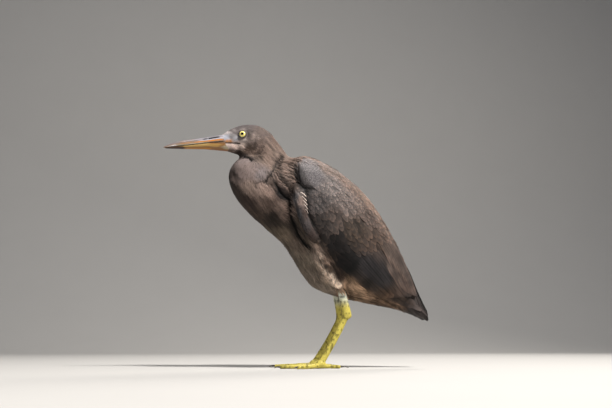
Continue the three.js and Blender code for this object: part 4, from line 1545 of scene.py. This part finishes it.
class Nodes:
    """Adds and links the nodes of one material or group."""

    def __init__(self, tree: Group) -> None:
        """Works on one node tree."""
        self.tree = tree

    def add(self, kind_name: str, inputs: dict | None = None, **settings: object) -> bpy.types.Node:
        """A new node.

        Args:
            kind_name: the node's type.
            inputs: for each socket a constant, or the socket that feeds it.
            settings: the node's own properties.

        Returns:
            The node.
        """
        node = self.tree.nodes.new(kind_name)
        for key, value in settings.items():
            setattr(node, key, value)
        for key, value in (inputs or {}).items():
            if isinstance(value, Link):
                self.tree.links.new(value, node.inputs[key])
            else:
                node.inputs[key].default_value = value
        return node

    def math(self, operation: str, a: object, b: object = 0.0) -> Link:
        """The result of a sum on one or two values."""
        return self.add("ShaderNodeMath", {0: a, 1: b}, operation=operation).outputs[0]

    def plus(self, a: object, b: object) -> Link:
        """Two values added."""
        return self.math("ADD", a, b)

    def minus(self, a: object, b: object) -> Link:
        """The second value taken from the first."""
        return self.math("SUBTRACT", a, b)

    def times(self, a: object, b: object) -> Link:
        """Two values multiplied."""
        return self.math("MULTIPLY", a, b)

    def swing(self, value: object, size: object) -> Link:
        """A value between 0 and 1 turned into a swing to both sides of 0."""
        return self.times(self.minus(value, 0.5), size)

    def ramp(self, value: object, low: float, high: float) -> Link:
        """A smooth rise from 0 at low to 1 at high."""
        inputs = {"Value": value, "From Min": low, "From Max": high}
        return self.add("ShaderNodeMapRange", inputs, interpolation_type="SMOOTHSTEP").outputs[0]

    def mix(self, share: object, a: object, b: object, blend: str = "MIX") -> Link:
        """Two colours mixed."""
        inputs = {0: share, 6: a, 7: b}
        return self.add("ShaderNodeMix", inputs, data_type="RGBA", blend_type=blend).outputs[2]

    def noise(self, vector: object, scale: float, detail: float = 3.0,
              rough: float = 0.55) -> Link:
        """Soft noise between 0 and 1."""
        inputs = {"Scale": scale, "Detail": detail, "Roughness": rough, "Vector": vector}
        return self.add("ShaderNodeTexNoise", inputs).outputs[0]

    def coordinates(self, scale: Triple = (1.0, 1.0, 1.0)) -> Link:
        """The place on the object, stretched along its axes."""
        at = self.add("ShaderNodeTexCoord").outputs["Object"]
        return self.add("ShaderNodeMapping", {"Vector": at, "Scale": scale}).outputs[0]

    def uv(self, name: str) -> bpy.types.Node:
        """A UV map, split into its two directions."""
        at = self.add("ShaderNodeUVMap", uv_map=name).outputs[0]
        return self.add("ShaderNodeSeparateXYZ", {0: at})

    def stored(self, name: str, output: str = "Fac") -> Link:
        """What the mesh stores under a name, as a number or as its Color."""
        return self.add("ShaderNodeAttribute", attribute_name=name).outputs[output]

    def shaded(self, colour: object, light: object) -> Link:
        """A colour times a number."""
        grey = self.add("ShaderNodeCombineColor", {0: light, 1: light, 2: light}).outputs[0]
        return self.mix(1.0, colour, grey, "MULTIPLY")

    def group(self, tree: Group, finish: object) -> bpy.types.Node:
        """A group whose inputs take their values from the fields of the same names."""
        node = self.add("ShaderNodeGroup", node_tree=tree)
        for socket in node.inputs:
            socket.default_value = getattr(finish, socket.name.lower(), socket.default_value)
        return node

    def bumped(self, shader: bpy.types.Node, height: object, strength: float, distance: float) -> None:
        """Gives the shader a bump."""
        inputs = {"Strength": strength, "Distance": distance, "Height": height}
        self.tree.links.new(self.add("ShaderNodeBump", inputs).outputs[0], shader.inputs["Normal"])

    def based(self, shader: bpy.types.Node, colour: Link) -> None:
        """Gives the shader its colour."""
        self.tree.links.new(colour, shader.inputs["Base Color"])


def rgb(colour: Triple) -> tuple[float, float, float, float]:
    """A colour with its alpha."""
    return (*colour, 1.0)


def new_material(name: str, **constants: object) -> tuple[Material, Nodes, bpy.types.Node]:
    """A material with its Principled shader.

    Args:
        name: the material's name.
        constants: values of the shader's sockets, named with _ for a space.

    Returns:
        The material, its nodes, and the shader.
    """
    material = bpy.data.materials.new(name)
    material.use_nodes = True
    shader = material.node_tree.nodes["Principled BSDF"]
    for key, value in constants.items():
        shader.inputs[key.replace("_", " ")].default_value = value
    return material, Nodes(material.node_tree), shader


def new_group(name: str, inputs: dict[str, float], outputs: Sequence[tuple[str, str]]) -> tuple[
        Group, Nodes, bpy.types.Node, bpy.types.Node]:
    """An empty node group.

    Args:
        name: the group's name.
        inputs: its number inputs with their first values.
        outputs: the names and kinds of what it puts out.

    Returns:
        The group, its nodes, its input node and its output node.
    """
    tree = bpy.data.node_groups.new(name, "ShaderNodeTree")
    for label, value in inputs.items():
        socket = tree.interface.new_socket(label, in_out="INPUT", socket_type="NodeSocketFloat")
        socket.default_value = value
    for label, socket_type in outputs:
        tree.interface.new_socket(label, in_out="OUTPUT", socket_type=socket_type)
    nodes = Nodes(tree)
    return tree, nodes, nodes.add("NodeGroupInput"), nodes.add("NodeGroupOutput")


def barbs_group() -> Group:
    """The barbs, shaft and pale edge of a vane, from its Vane map and its tone."""
    tree, nodes, given, out = new_group(
        "barbs",
        {"Barbs": 26.0, "Slope": 0.6, "Fringe": 0.3, "Shaft": 0.3, "Tone": 0.25},
        (("Light", "NodeSocketFloat"), ("Fringe", "NodeSocketFloat"), ("Height", "NodeSocketFloat")),
    )
    split, tone = nodes.uv("Vane"), nodes.stored("tone")
    across = nodes.math("ABSOLUTE", nodes.minus(split.outputs[0], 0.5))
    run = nodes.minus(split.outputs[1], nodes.times(across, given.outputs["Slope"]))
    shifted = nodes.plus(run, nodes.times(tone, 7.0))
    rows = nodes.times(shifted, given.outputs["Barbs"])
    cell = nodes.add("ShaderNodeCombineXYZ", {0: rows, 1: nodes.times(across, 1.6), 2: tone})
    strands = nodes.noise(cell.outputs[0], 1.0, 3.0, 0.7)
    edge = nodes.ramp(nodes.plus(across, nodes.times(strands, 0.16)), 0.40, 0.56)
    tip = nodes.ramp(nodes.plus(split.outputs[1], nodes.times(strands, 0.14)), 0.86, 1.04)
    fringe = nodes.times(nodes.math("MAXIMUM", edge, tip), given.outputs["Fringe"])
    shaft = nodes.times(nodes.minus(1.0, nodes.ramp(across, 0.0, 0.07)), given.outputs["Shaft"])
    swing = nodes.swing(tone, given.outputs["Tone"])
    grain = nodes.swing(strands, 0.55)
    light = nodes.minus(nodes.plus(nodes.plus(1.0, grain), swing), shaft)
    height = nodes.plus(strands, nodes.times(shaft, 2.0))
    for label, value in (("Light", light), ("Fringe", fringe), ("Height", height)):
        tree.links.new(value, out.inputs[label])
    return tree


def feather_material(name: str, finish: Feathering, barbs: Group) -> Material:
    """The finish of one piece of the coat.

    Args:
        name: the material's name.
        finish: its values.
        barbs: the group that draws the barbs.

    Returns:
        The material.
    """
    material, nodes, shader = new_material(
        name, Roughness=finish.roughness, Sheen_Weight=finish.sheen, Sheen_Roughness=0.45, IOR=1.5,
        Specular_IOR_Level=0.18)
    group = nodes.group(barbs, finish)
    cloud = nodes.ramp(nodes.noise(nodes.coordinates(), 160.0, 4.0), 0.25, 0.75)
    mottled = nodes.plus(0.85, nodes.times(cloud, 0.3))
    shaded = nodes.shaded(nodes.stored("tint", "Color"), nodes.times(group.outputs["Light"], mottled))
    pale = nodes.mix(1.0, shaded, rgb(finish.fringe_light), "MULTIPLY")
    nodes.based(shader, nodes.mix(group.outputs["Fringe"], shaded, pale))
    nodes.bumped(shader, group.outputs["Height"], finish.bump, 0.3 * MM)
    return material


def skin_material() -> Material:
    """The skin: dull under the coat, finely wrinkled where it is bare, scaled on the legs."""
    material, nodes, shader = new_material("skin", Roughness=0.6, IOR=1.45, Specular_IOR_Level=0.2)
    bare, leg = nodes.stored("bare"), nodes.stored("leg")
    wrinkle = nodes.noise(nodes.coordinates((1.0, 1.0, 1.6)), 900.0, 4.0)
    inputs = {"Vector": nodes.coordinates((1.0, 1.0, 0.7)), "Scale": 640.0}
    plates = nodes.add("ShaderNodeTexVoronoi", inputs, feature="DISTANCE_TO_EDGE").outputs["Distance"]
    seam = nodes.ramp(plates, 0.0, 0.16)
    shade = nodes.plus(0.72, nodes.times(wrinkle, 0.5))
    worn = nodes.times(shade, nodes.minus(1.0, nodes.times(leg, nodes.times(nodes.minus(1.0, seam), 0.22))))
    nodes.based(shader, nodes.shaded(nodes.stored("tint", "Color"), worn))
    nodes.bumped(shader, nodes.plus(nodes.times(wrinkle, bare), nodes.times(seam, leg)), 0.35, 0.3 * MM)
    roughness = nodes.minus(0.72, nodes.times(bare, 0.26))
    material.node_tree.links.new(roughness, shader.inputs["Roughness"])
    return material


@dataclass(frozen=True)
class EyeFinish:
    """A glossy eye: black pupil, yellow iris with fine rays, thin dark rim.

    The radii are shares of the Eye map's own.
    """

    pupil: float = 0.424
    rim: float = 0.85
    ball: float = 0.95

    def build(self) -> Material:
        """The material, which reads the Eye map, centred on the pupil."""
        material, nodes, shader = new_material(
            "eye", Roughness=0.12, IOR=1.35, Coat_Weight=0.45, Coat_Roughness=0.02)
        split = nodes.uv("Eye")
        right, up = nodes.swing(split.outputs[0], 2.0), nodes.swing(split.outputs[1], 2.0)
        radius = nodes.math("SQRT", nodes.plus(nodes.times(right, right), nodes.times(up, up)))
        angle = nodes.math("ARCTAN2", up, right)
        turns = [nodes.times(nodes.math(operation, angle), 5.0) for operation in ("SINE", "COSINE")]
        polar = nodes.add("ShaderNodeCombineXYZ", {0: turns[0], 1: turns[1], 2: nodes.times(radius, 1.3)})
        rays = nodes.noise(polar.outputs[0], 3.0, 5.0, 0.65)
        colour = nodes.mix(nodes.ramp(rays, 0.3, 0.7), rgb((0.92, 0.74, 0.16)), rgb((1.0, 0.90, 0.36)))
        colour = nodes.mix(nodes.ramp(radius, 0.36, 0.52), rgb((0.66, 0.40, 0.03)), colour)
        rim = nodes.ramp(radius, self.rim, self.rim + 0.06)
        colour = nodes.mix(rim, colour, rgb((0.012, 0.009, 0.007)))
        ball = nodes.ramp(radius, self.ball, self.ball + 0.07)
        colour = nodes.mix(ball, colour, rgb((0.120, 0.105, 0.098)))
        edge = nodes.ramp(radius, self.pupil - 0.015, self.pupil + 0.02)
        nodes.based(shader, nodes.mix(edge, rgb((0.003, 0.003, 0.003)), colour))
        return material


@dataclass(frozen=True)
class Streak:
    """A coloured streak along the horn: its middle down from the ridge, its slope, and its two ends."""

    colour: Triple
    level: float
    slope: float
    half: float
    start: float
    stop: float
    strength: float


def streak_group() -> Group:
    """The mask of one streak along the horn, with ragged edges and drawn-out ends."""
    tree, nodes, given, out = new_group(
        "streak", {"Level": 0.5, "Slope": 0.0, "Half": 0.1, "Start": 0.2, "Stop": 0.6, "Strength": 1.0},
        (("Mask", "NodeSocketFloat"),))
    grain = nodes.noise(nodes.coordinates((60.0, 420.0, 620.0)), 1.0, 4.0, 0.6)
    wander = nodes.noise(nodes.coordinates((90.0, 0.0, 0.0)), 1.0, 2.0)
    split = nodes.uv("Horn")
    along = nodes.plus(split.outputs[1], nodes.swing(grain, 0.12))
    middle = nodes.plus(given.outputs["Level"], nodes.times(given.outputs["Slope"], along))
    middle = nodes.plus(middle, nodes.swing(wander, 0.10))
    apart = nodes.math("ABSOLUTE", nodes.minus(split.outputs[0], middle))
    ragged = nodes.plus(apart, nodes.swing(grain, 0.09))
    begun = nodes.times(nodes.minus(along, given.outputs["Start"]), 12.0)
    ended = nodes.times(nodes.minus(given.outputs["Stop"], along), 9.0)
    ends = nodes.ramp(nodes.math("MINIMUM", begun, ended), 0.0, 1.0)
    wide = nodes.times(given.outputs["Half"], nodes.plus(0.25, nodes.times(ends, 0.75)))
    inside = nodes.minus(1.0, nodes.ramp(nodes.math("DIVIDE", ragged, wide), 0.55, 1.35))
    mask = nodes.times(nodes.times(inside, ends), given.outputs["Strength"])
    tree.links.new(mask, out.inputs["Mask"])
    return tree


UPPER_STREAKS = tuple(Streak(*row) for row in (
    ((0.085, 0.05, 0.032), 0.06, 0.0, 0.15, 0.24, 0.95, 0.95),
    ((0.29, 0.28, 0.325), 0.38, 0.0, 0.17, 0.05, 0.8, 0.95),
    ((0.33, 0.215, 0.15), 0.3, 0.1, 0.07, 0.5, 0.82, 0.7),
    ((0.34, 0.335, 0.385), 0.7, 0.0, 0.1, 0.02, 0.56, 0.95),
    ((0.11, 0.08, 0.068), 0.6, 0.04, 0.04, 0.44, 0.88, 0.9),
    ((0.5, 0.165, 0.014), 0.86, 0.0, 0.065, 0.09, 0.62, 1.0),
    ((0.34, 0.15, 0.045), 0.8, 0.0, 0.06, 0.54, 0.8, 0.8),
    ((0.43, 0.37, 0.26), 0.97, 0.0, 0.05, 0.3, 0.9, 0.85),
    ((0.3, 0.305, 0.35), 0.3, 0.0, 0.45, -0.5, 0.2, 0.95),
    ((0.17, 0.155, 0.165), 0.4, 0.0, 0.3, 0.7, 1.3, 0.85),
    # a painted highlight: a whitish streak near the tip
    ((0.64, 0.6, 0.6), 0.92, 0.0, 0.09, 0.76, 0.98, 0.85),
    # painted shade in the nostril's slit and its furrow
    ((0.01, 0.008, 0.007), 0.5, 0.16, 0.105, 0.15, 0.5, 1.0),
))
LOWER_STREAKS = tuple(Streak(*row) for row in (
    ((0.2, 0.07, 0.018), 0.08, 0.0, 0.16, 0.02, 0.6, 0.95),
    ((0.4, 0.34, 0.23), 0.55, 0.0, 0.22, -0.2, 0.2, 0.9),
    ((0.4, 0.165, 0.014), 0.28, 0.0, 0.15, 0.26, 0.8, 0.95),
    ((0.4, 0.23, 0.06), 0.74, 0.0, 0.16, 0.14, 0.84, 0.85),
    ((0.5, 0.36, 0.14), 0.9, 0.0, 0.06, 0.3, 0.8, 0.8),
    ((0.03, 0.012, 0.008), 0.3, 0.0, 0.6, 0.66, 1.3, 1.0),
    ((0.15, 0.07, 0.03), 0.54, 0.0, 0.05, 0.26, 0.74, 0.8),
    ((0.018, 0.013, 0.011), 1.0, 0.0, 0.05, -0.2, 0.34, 0.9),
))


def bill_material(lower: bool, streak: Group) -> Material:
    """Horn with a brown ridge, orange and grey streaks along its sides and a dark tip.

    Args:
        lower: whether it is the lower half's.
        streak: the group that draws one streak.

    Returns:
        The material, which reads the Horn map.
    """
    material, nodes, shader = new_material("bill_lower" if lower else "bill_upper", Roughness=0.42, IOR=1.5)
    grain = nodes.noise(nodes.coordinates((22.0, 260.0, 420.0)), 1.0, 5.0, 0.6)
    colour = rgb((0.230, 0.110, 0.035) if lower else (0.240, 0.160, 0.110))
    for line in LOWER_STREAKS if lower else UPPER_STREAKS:
        colour = nodes.mix(nodes.group(streak, line).outputs["Mask"], colour, rgb(line.colour))
    nodes.based(shader, nodes.shaded(colour, nodes.plus(0.70, nodes.times(grain, 0.6))))
    nodes.bumped(shader, grain, 0.22, 0.4 * MM)
    return material


def claw_material() -> Material:
    """Dark horn, a little paler where it is worn."""
    material, nodes, shader = new_material("claw", Roughness=0.35, IOR=1.5)
    worn = nodes.ramp(nodes.noise(nodes.coordinates((1.0, 1.0, 2.0)), 500.0), 0.3, 0.75)
    nodes.based(shader, nodes.mix(worn, rgb((0.035, 0.028, 0.022)), rgb((0.11, 0.085, 0.062))))
    return material


def plain_material(name: str, colour: Triple, roughness: float) -> Material:
    """A matt finish with faint mottling, for the floor and backdrop."""
    material, nodes, shader = new_material(name, Roughness=roughness)
    darker = tuple(c * 0.96 for c in colour)
    nodes.based(shader, nodes.mix(nodes.noise(nodes.coordinates(), 6.0), rgb(colour), rgb(darker)))
    return material


# ---------- bill, eyes and claws ----------


def shaped_grid(columns: int, rows: int, where: Callable[[float, float], Vector],
                chart: Callable[[float, float], tuple[float, float]], chart_name: str) -> Draft:
    """A grid laid on a shape, with its seam and poles closed.

    Args:
        columns: faces across.
        rows: faces along.
        where: the place for shares across and along, each from 0 to 1.
        chart: the place on a UV map for those shares.
        chart_name: that map's name.

    Returns:
        The mesh, with its faces pointing outwards.
    """
    bm = bmesh.new()
    bmesh.ops.create_grid(bm, x_segments=columns, y_segments=rows, size=0.5)
    layer = bm.loops.layers.uv.new(chart_name)
    for face in bm.faces:
        for loop in face.loops:
            loop[layer].uv = chart(loop.vert.co.x + 0.5, loop.vert.co.y + 0.5)
    for vert in bm.verts:
        vert.co = where(vert.co.x + 0.5, vert.co.y + 0.5)
    bmesh.ops.remove_doubles(bm, verts=bm.verts, dist=1e-6)
    bmesh.ops.dissolve_degenerate(bm, edges=bm.edges, dist=1e-7)
    bmesh.ops.recalc_face_normals(bm, faces=bm.faces)
    return bm


def between(table: Sequence[tuple[float, ...]], x: float, blend: float = 4.0) -> list[float]:
    """The values at x of a table whose rows start with growing x, with its corners rounded.

    Args:
        table: rows of x and the values there.
        x: where they are wanted.
        blend: how far a corner is rounded on either side.

    Returns:
        One value for each further column.
    """
    columns = np.array(table).T
    near = x + np.linspace(-blend, blend, 5)
    return [float(np.interp(near, columns[0], column).mean()) for column in columns[1:]]


@dataclass(frozen=True)
class Mandible:
    """One half of the bill.

    Its stations run from the tip to the base: the place along the bird, the height of the ridge, the height
    of the cutting edge, and half the width there.
    """

    name: str
    table: tuple[tuple[float, float, float, float], ...]
    lower: bool
    columns: int = 64
    rows: int = 130
    hollow: float = 0.5
    nostril: tuple[float, float, float] = (-141.0, -127.5, 321.3)

    def where(self, u: float, v: float) -> Vector:
        """The place on the horn for shares round and along it."""
        tip, base = self.table[0][0], self.table[-1][0]
        x = base + (tip - base) * v
        ridge, edge, half = between(self.table, x)
        side, up = math.sin(2 * math.pi * u), math.cos(2 * math.pi * u)
        width = half * math.copysign(abs(side) ** 0.8, side)
        inward = self.hollow if self.lower else -self.hollow
        height = (ridge - edge) * up**0.85 if up > 0 else inward * up
        end = math.sqrt(max(0.0, 1 - max(0.0, (v - 0.97) / 0.03) ** 2)) if v > 0 else 0.0
        width -= math.copysign(self._groove(x, edge + height), side) if width else 0.0
        return place(x, width * end, edge + height * end)

    def _groove(self, x: float, z: float) -> float:
        """How deep the nostril's slit and its long furrow are at one place."""
        if self.lower:
            return 0.0
        start, stop, height = self.nostril
        level = height + (x - stop) * 0.16
        along = max(0.0, start - x, x - stop)
        slit = 1.3 * math.exp(-((z - level) / 0.75) ** 2 - (along / 1.2) ** 2)
        far = max(0.0, -170.0 - x, x - stop)
        return slit + 0.35 * math.exp(-((z - level) / 1.1) ** 2 - (far / 5.0) ** 2)

    def chart(self, u: float, v: float) -> tuple[float, float]:
        """How far down from the ridge and how far along a place is."""
        return min(1.0, 4.0 * min(u, 1.0 - u)), v

    def build(self, streak: Group) -> Piece:
        """The piece, in place of its CAD node."""
        mesh = mesh_of(shaped_grid(self.columns, self.rows, self.where, self.chart, "Horn"), self.name)
        piece = finished(self.name, mesh, bill_material(self.lower, streak))
        return replacing(piece, "bill", self.name)


BILL = (
    Mandible("bill_upper", (
        (-204.5, 304.8, 303.9, 0.9), (-197.0, 309.6, 305.0, 2.3), (-184.0, 314.0, 306.8, 3.5),
        (-165.0, 317.6, 309.4, 4.8), (-145.0, 321.4, 312.5, 6.0), (-125.0, 326.0, 315.0, 7.4),
        (-108.0, 329.0, 315.4, 7.9)), lower=False),
    Mandible("bill_lower", (
        (-202.5, 303.0, 303.8, 0.7), (-196.0, 303.0, 304.7, 1.8), (-184.0, 303.3, 306.5, 3.0),
        (-165.0, 303.9, 309.1, 4.3), (-145.0, 304.6, 312.2, 5.5), (-124.0, 303.6, 314.7, 7.0),
        (-108.0, 303.0, 315.0, 7.6)), lower=True),
)


@dataclass(frozen=True)
class Eye:
    """One eyeball with its clear front."""

    side_name: str
    ball: float = 6.2 * MM
    swell: float = 0.55 * MM
    iris: float = 4.75 * MM
    columns: int = 64
    rows: int = 48

    def where(self, u: float, v: float) -> Vector:
        """The place on the eyeball for shares round its axis and from its front to its back."""
        side = SIDES[self.side_name]
        centre, axis = eye_centre(side), eye_axis(side)
        first = axis.cross(Vector((0, 0, 1))).normalized()
        second = axis.cross(first)
        polar, turn = math.pi * v, 2 * math.pi * u
        from_rim = max(0.0, 1 - (math.sin(polar) * self.ball / self.iris) ** 2)
        radius = self.ball + self.swell * from_rim * (v < 0.5)
        ring = first * math.cos(turn) + second * math.sin(turn)
        return centre + radius * (axis * math.cos(polar) + ring * math.sin(polar))

    def chart(self, u: float, v: float) -> tuple[float, float]:
        """The place on the round map of the iris."""
        radius = 0.5 * math.sin(math.pi * v) * self.ball / self.iris if v < 0.5 else 2.0
        return 0.5 + radius * math.cos(2 * math.pi * u), 0.5 + radius * math.sin(2 * math.pi * u)

    def build(self, material: Material) -> Piece:
        """The piece, in place of its CAD node."""
        name = f"eye_{self.side_name}"
        mesh = mesh_of(shaped_grid(self.columns, self.rows, self.where, self.chart, "Eye"), name)
        return replacing(finished(name, mesh, material), "eye", name)


def claws(side_name: str, material: Material) -> Piece:
    """The four claws of one foot, smoothed from their CAD nodes."""
    names = [f"claw_{toe}_{side_name}" for toe in ("inner", "middle", "outer", "hind")]
    bm = union_of(names, 0.45 * MM, 0.1 * MM)
    points = relaxed(bm, vertex_array(bm), np.ones(len(bm.verts)), 6)
    points[:, 2] = np.maximum(points[:, 2], 0.0)
    set_places(bm, points)
    name = f"claws_{side_name}"
    return replacing(finished(name, mesh_of(bm, name), material), "claw", *names)


# ---------- the studio ----------


@dataclass(frozen=True)
class Studio:
    """A pale sweep, soft lights and the camera."""

    azimuth: float = -10.0
    elevation: float = -11.5
    distance: float = 1000.0
    target: Triple = (0.0, 0.0, 230.0)
    lens: float = 40.86
    floor_start: float = -2.6
    floor_end: float = 1.8
    sweep_length: float = 9.5
    sweep_width: float = 14.0
    bend: float = 1.2

    def sweep(self) -> None:
        """The floor, which curves up into the backdrop."""
        bm = bmesh.new()
        bmesh.ops.create_grid(bm, x_segments=2, y_segments=64, size=0.5)
        for vert in bm.verts:
            run = (vert.co.y + 0.5) * self.sweep_length + self.floor_start
            beyond = max(0.0, run - self.floor_end)
            turn = min(beyond / self.bend, math.pi / 2)
            rise = self.bend * (1 - math.cos(turn)) + max(0.0, beyond - self.bend * math.pi / 2)
            far = min(run, self.floor_end) + self.bend * math.sin(turn)
            vert.co = Vector((vert.co.x * self.sweep_width, far, rise))
        bmesh.ops.recalc_face_normals(bm, faces=bm.faces)
        mesh = mesh_of(bm, "sweep")
        mesh.materials.append(plain_material("studio_paper", (0.5, 0.49, 0.475), 0.9))
        mesh.polygons.foreach_set("use_smooth", np.ones(len(mesh.polygons), bool))
        floor = bpy.data.objects.new("sweep", mesh)
        bpy.context.scene.collection.objects.link(floor)

    def light(self, name: str, at: Triple, size: float, power: float, colour: Triple) -> None:
        """An area light that looks at the bird."""
        lamp = bpy.data.lights.new(name, "AREA")
        lamp.shape = "DISK"
        lamp.size = size
        lamp.energy = power
        lamp.color = colour
        holder = bpy.data.objects.new(name, lamp)
        holder.location = at
        aim = place(-20, 0, 230) - Vector(at)
        holder.rotation_euler = aim.to_track_quat("-Z", "Y").to_euler()
        bpy.context.scene.collection.objects.link(holder)

    def camera(self) -> None:
        """The camera at its angle, low above the floor."""
        data = bpy.data.cameras.new("camera")
        data.lens = self.lens
        data.sensor_width = 36.0
        data.clip_start = 0.01
        az, el = math.radians(self.azimuth), math.radians(self.elevation)
        back = Vector((math.sin(az) * math.cos(el), -math.cos(az) * math.cos(el), math.sin(el)))
        holder = bpy.data.objects.new("camera", data)
        target = place(*self.target)
        holder.location = target + back * self.distance * MM
        holder.rotation_euler = (-back).to_track_quat("-Z", "Y").to_euler()
        bpy.context.scene.collection.objects.link(holder)
        bpy.context.scene.camera = holder

    def build(self) -> None:
        """Sets up the sweep, the lights, the surrounding light and the camera."""
        self.sweep()
        self.light("key", (0.7, -1.0, 2.1), 0.4, 100.0, (1.0, 0.965, 0.92))
        self.light("fill", (-1.6, -1.5, 0.8), 1.6, 4.0, (0.93, 0.96, 1.0))
        self.light("rim", (0.9, 1.3, 1.5), 0.7, 18.0, (1.0, 0.95, 0.88))
        world = bpy.data.worlds.new("studio")
        world.use_nodes = True
        world.node_tree.nodes["Background"].inputs["Color"].default_value = (0.86, 0.90, 1.0, 1.0)
        world.node_tree.nodes["Background"].inputs["Strength"].default_value = 0.15
        bpy.context.scene.world = world
        bpy.context.scene.view_settings.view_transform = "Standard"
        self.camera()


def dress(skin: Skin, plumage: Plumage, surface: Surface) -> None:
    """Covers the skin with its coat.

    Args:
        skin: tells which CAD node is nearest.
        plumage: the lie, length and colour of the feathers.
        surface: the skin as arrays.
    """
    coat = Coat(surface, plumage)
    barbs = barbs_group()
    masks = zones(surface, skin.nodes)
    sheaves: dict[str, tuple[Sheaf, Feathering]] = {}
    for number, tract in enumerate(TRACTS):
        sheaves[tract.name] = tract.sheaf(coat, skin.nodes, masks[tract.zone], SEED + number), tract.finish
    for number, (side_name, side) in enumerate(SIDES.items()):
        dice = np.random.default_rng(SEED + 100 + number)
        wing = Wing(side, coat, masks[Zone.WING])
        lesser = wing.coverts(COVERTS[0], dice)
        coverts = joined([wing.coverts(row, dice) for row in COVERTS[1:]])
        fans = joined([wing.fan(fan, dice) for fan in FANS] + [wing.down(dice)])
        sheaves[f"coverts_lesser_{side_name}"] = lesser, Feathering(fringe=0.22, shaft=0.1, tone=0.12)
        sheaves[f"coverts_{side_name}"] = coverts, Feathering(fringe=0.6, shaft=0.22, tone=0.35)
        sheaves[f"quills_{side_name}"] = fans, Feathering(fringe=0.5, shaft=0.5, tone=0.3, barbs=90.0)
    tail = TailFan().sheaf(coat, np.random.default_rng(SEED + 200))
    sheaves["quills_tail"] = tail, Feathering(fringe=0.3, shaft=0.5, tone=0.2, barbs=90.0)
    for name, (sheaf, finish) in sheaves.items():
        feathers = mesh_object(name, sheaf, feather_material(name, finish, barbs))


def main() -> None:
    """Builds the studio and the bird, piece by piece."""
    logging.basicConfig(level=logging.INFO, format="%(message)s")
    Studio().build()
    plumage = Plumage()
    skin = Skin()
    surface = skin.build(plumage, skin_material())
    streak = streak_group()
    for half in BILL:
        half.build(streak)
    eye = EyeFinish().build()
    horn = claw_material()
    for side in SIDES:
        Eye(side).build(eye)
        claws(side, horn)
    dress(skin, plumage, surface)


if __name__ == "__main__":
    main()
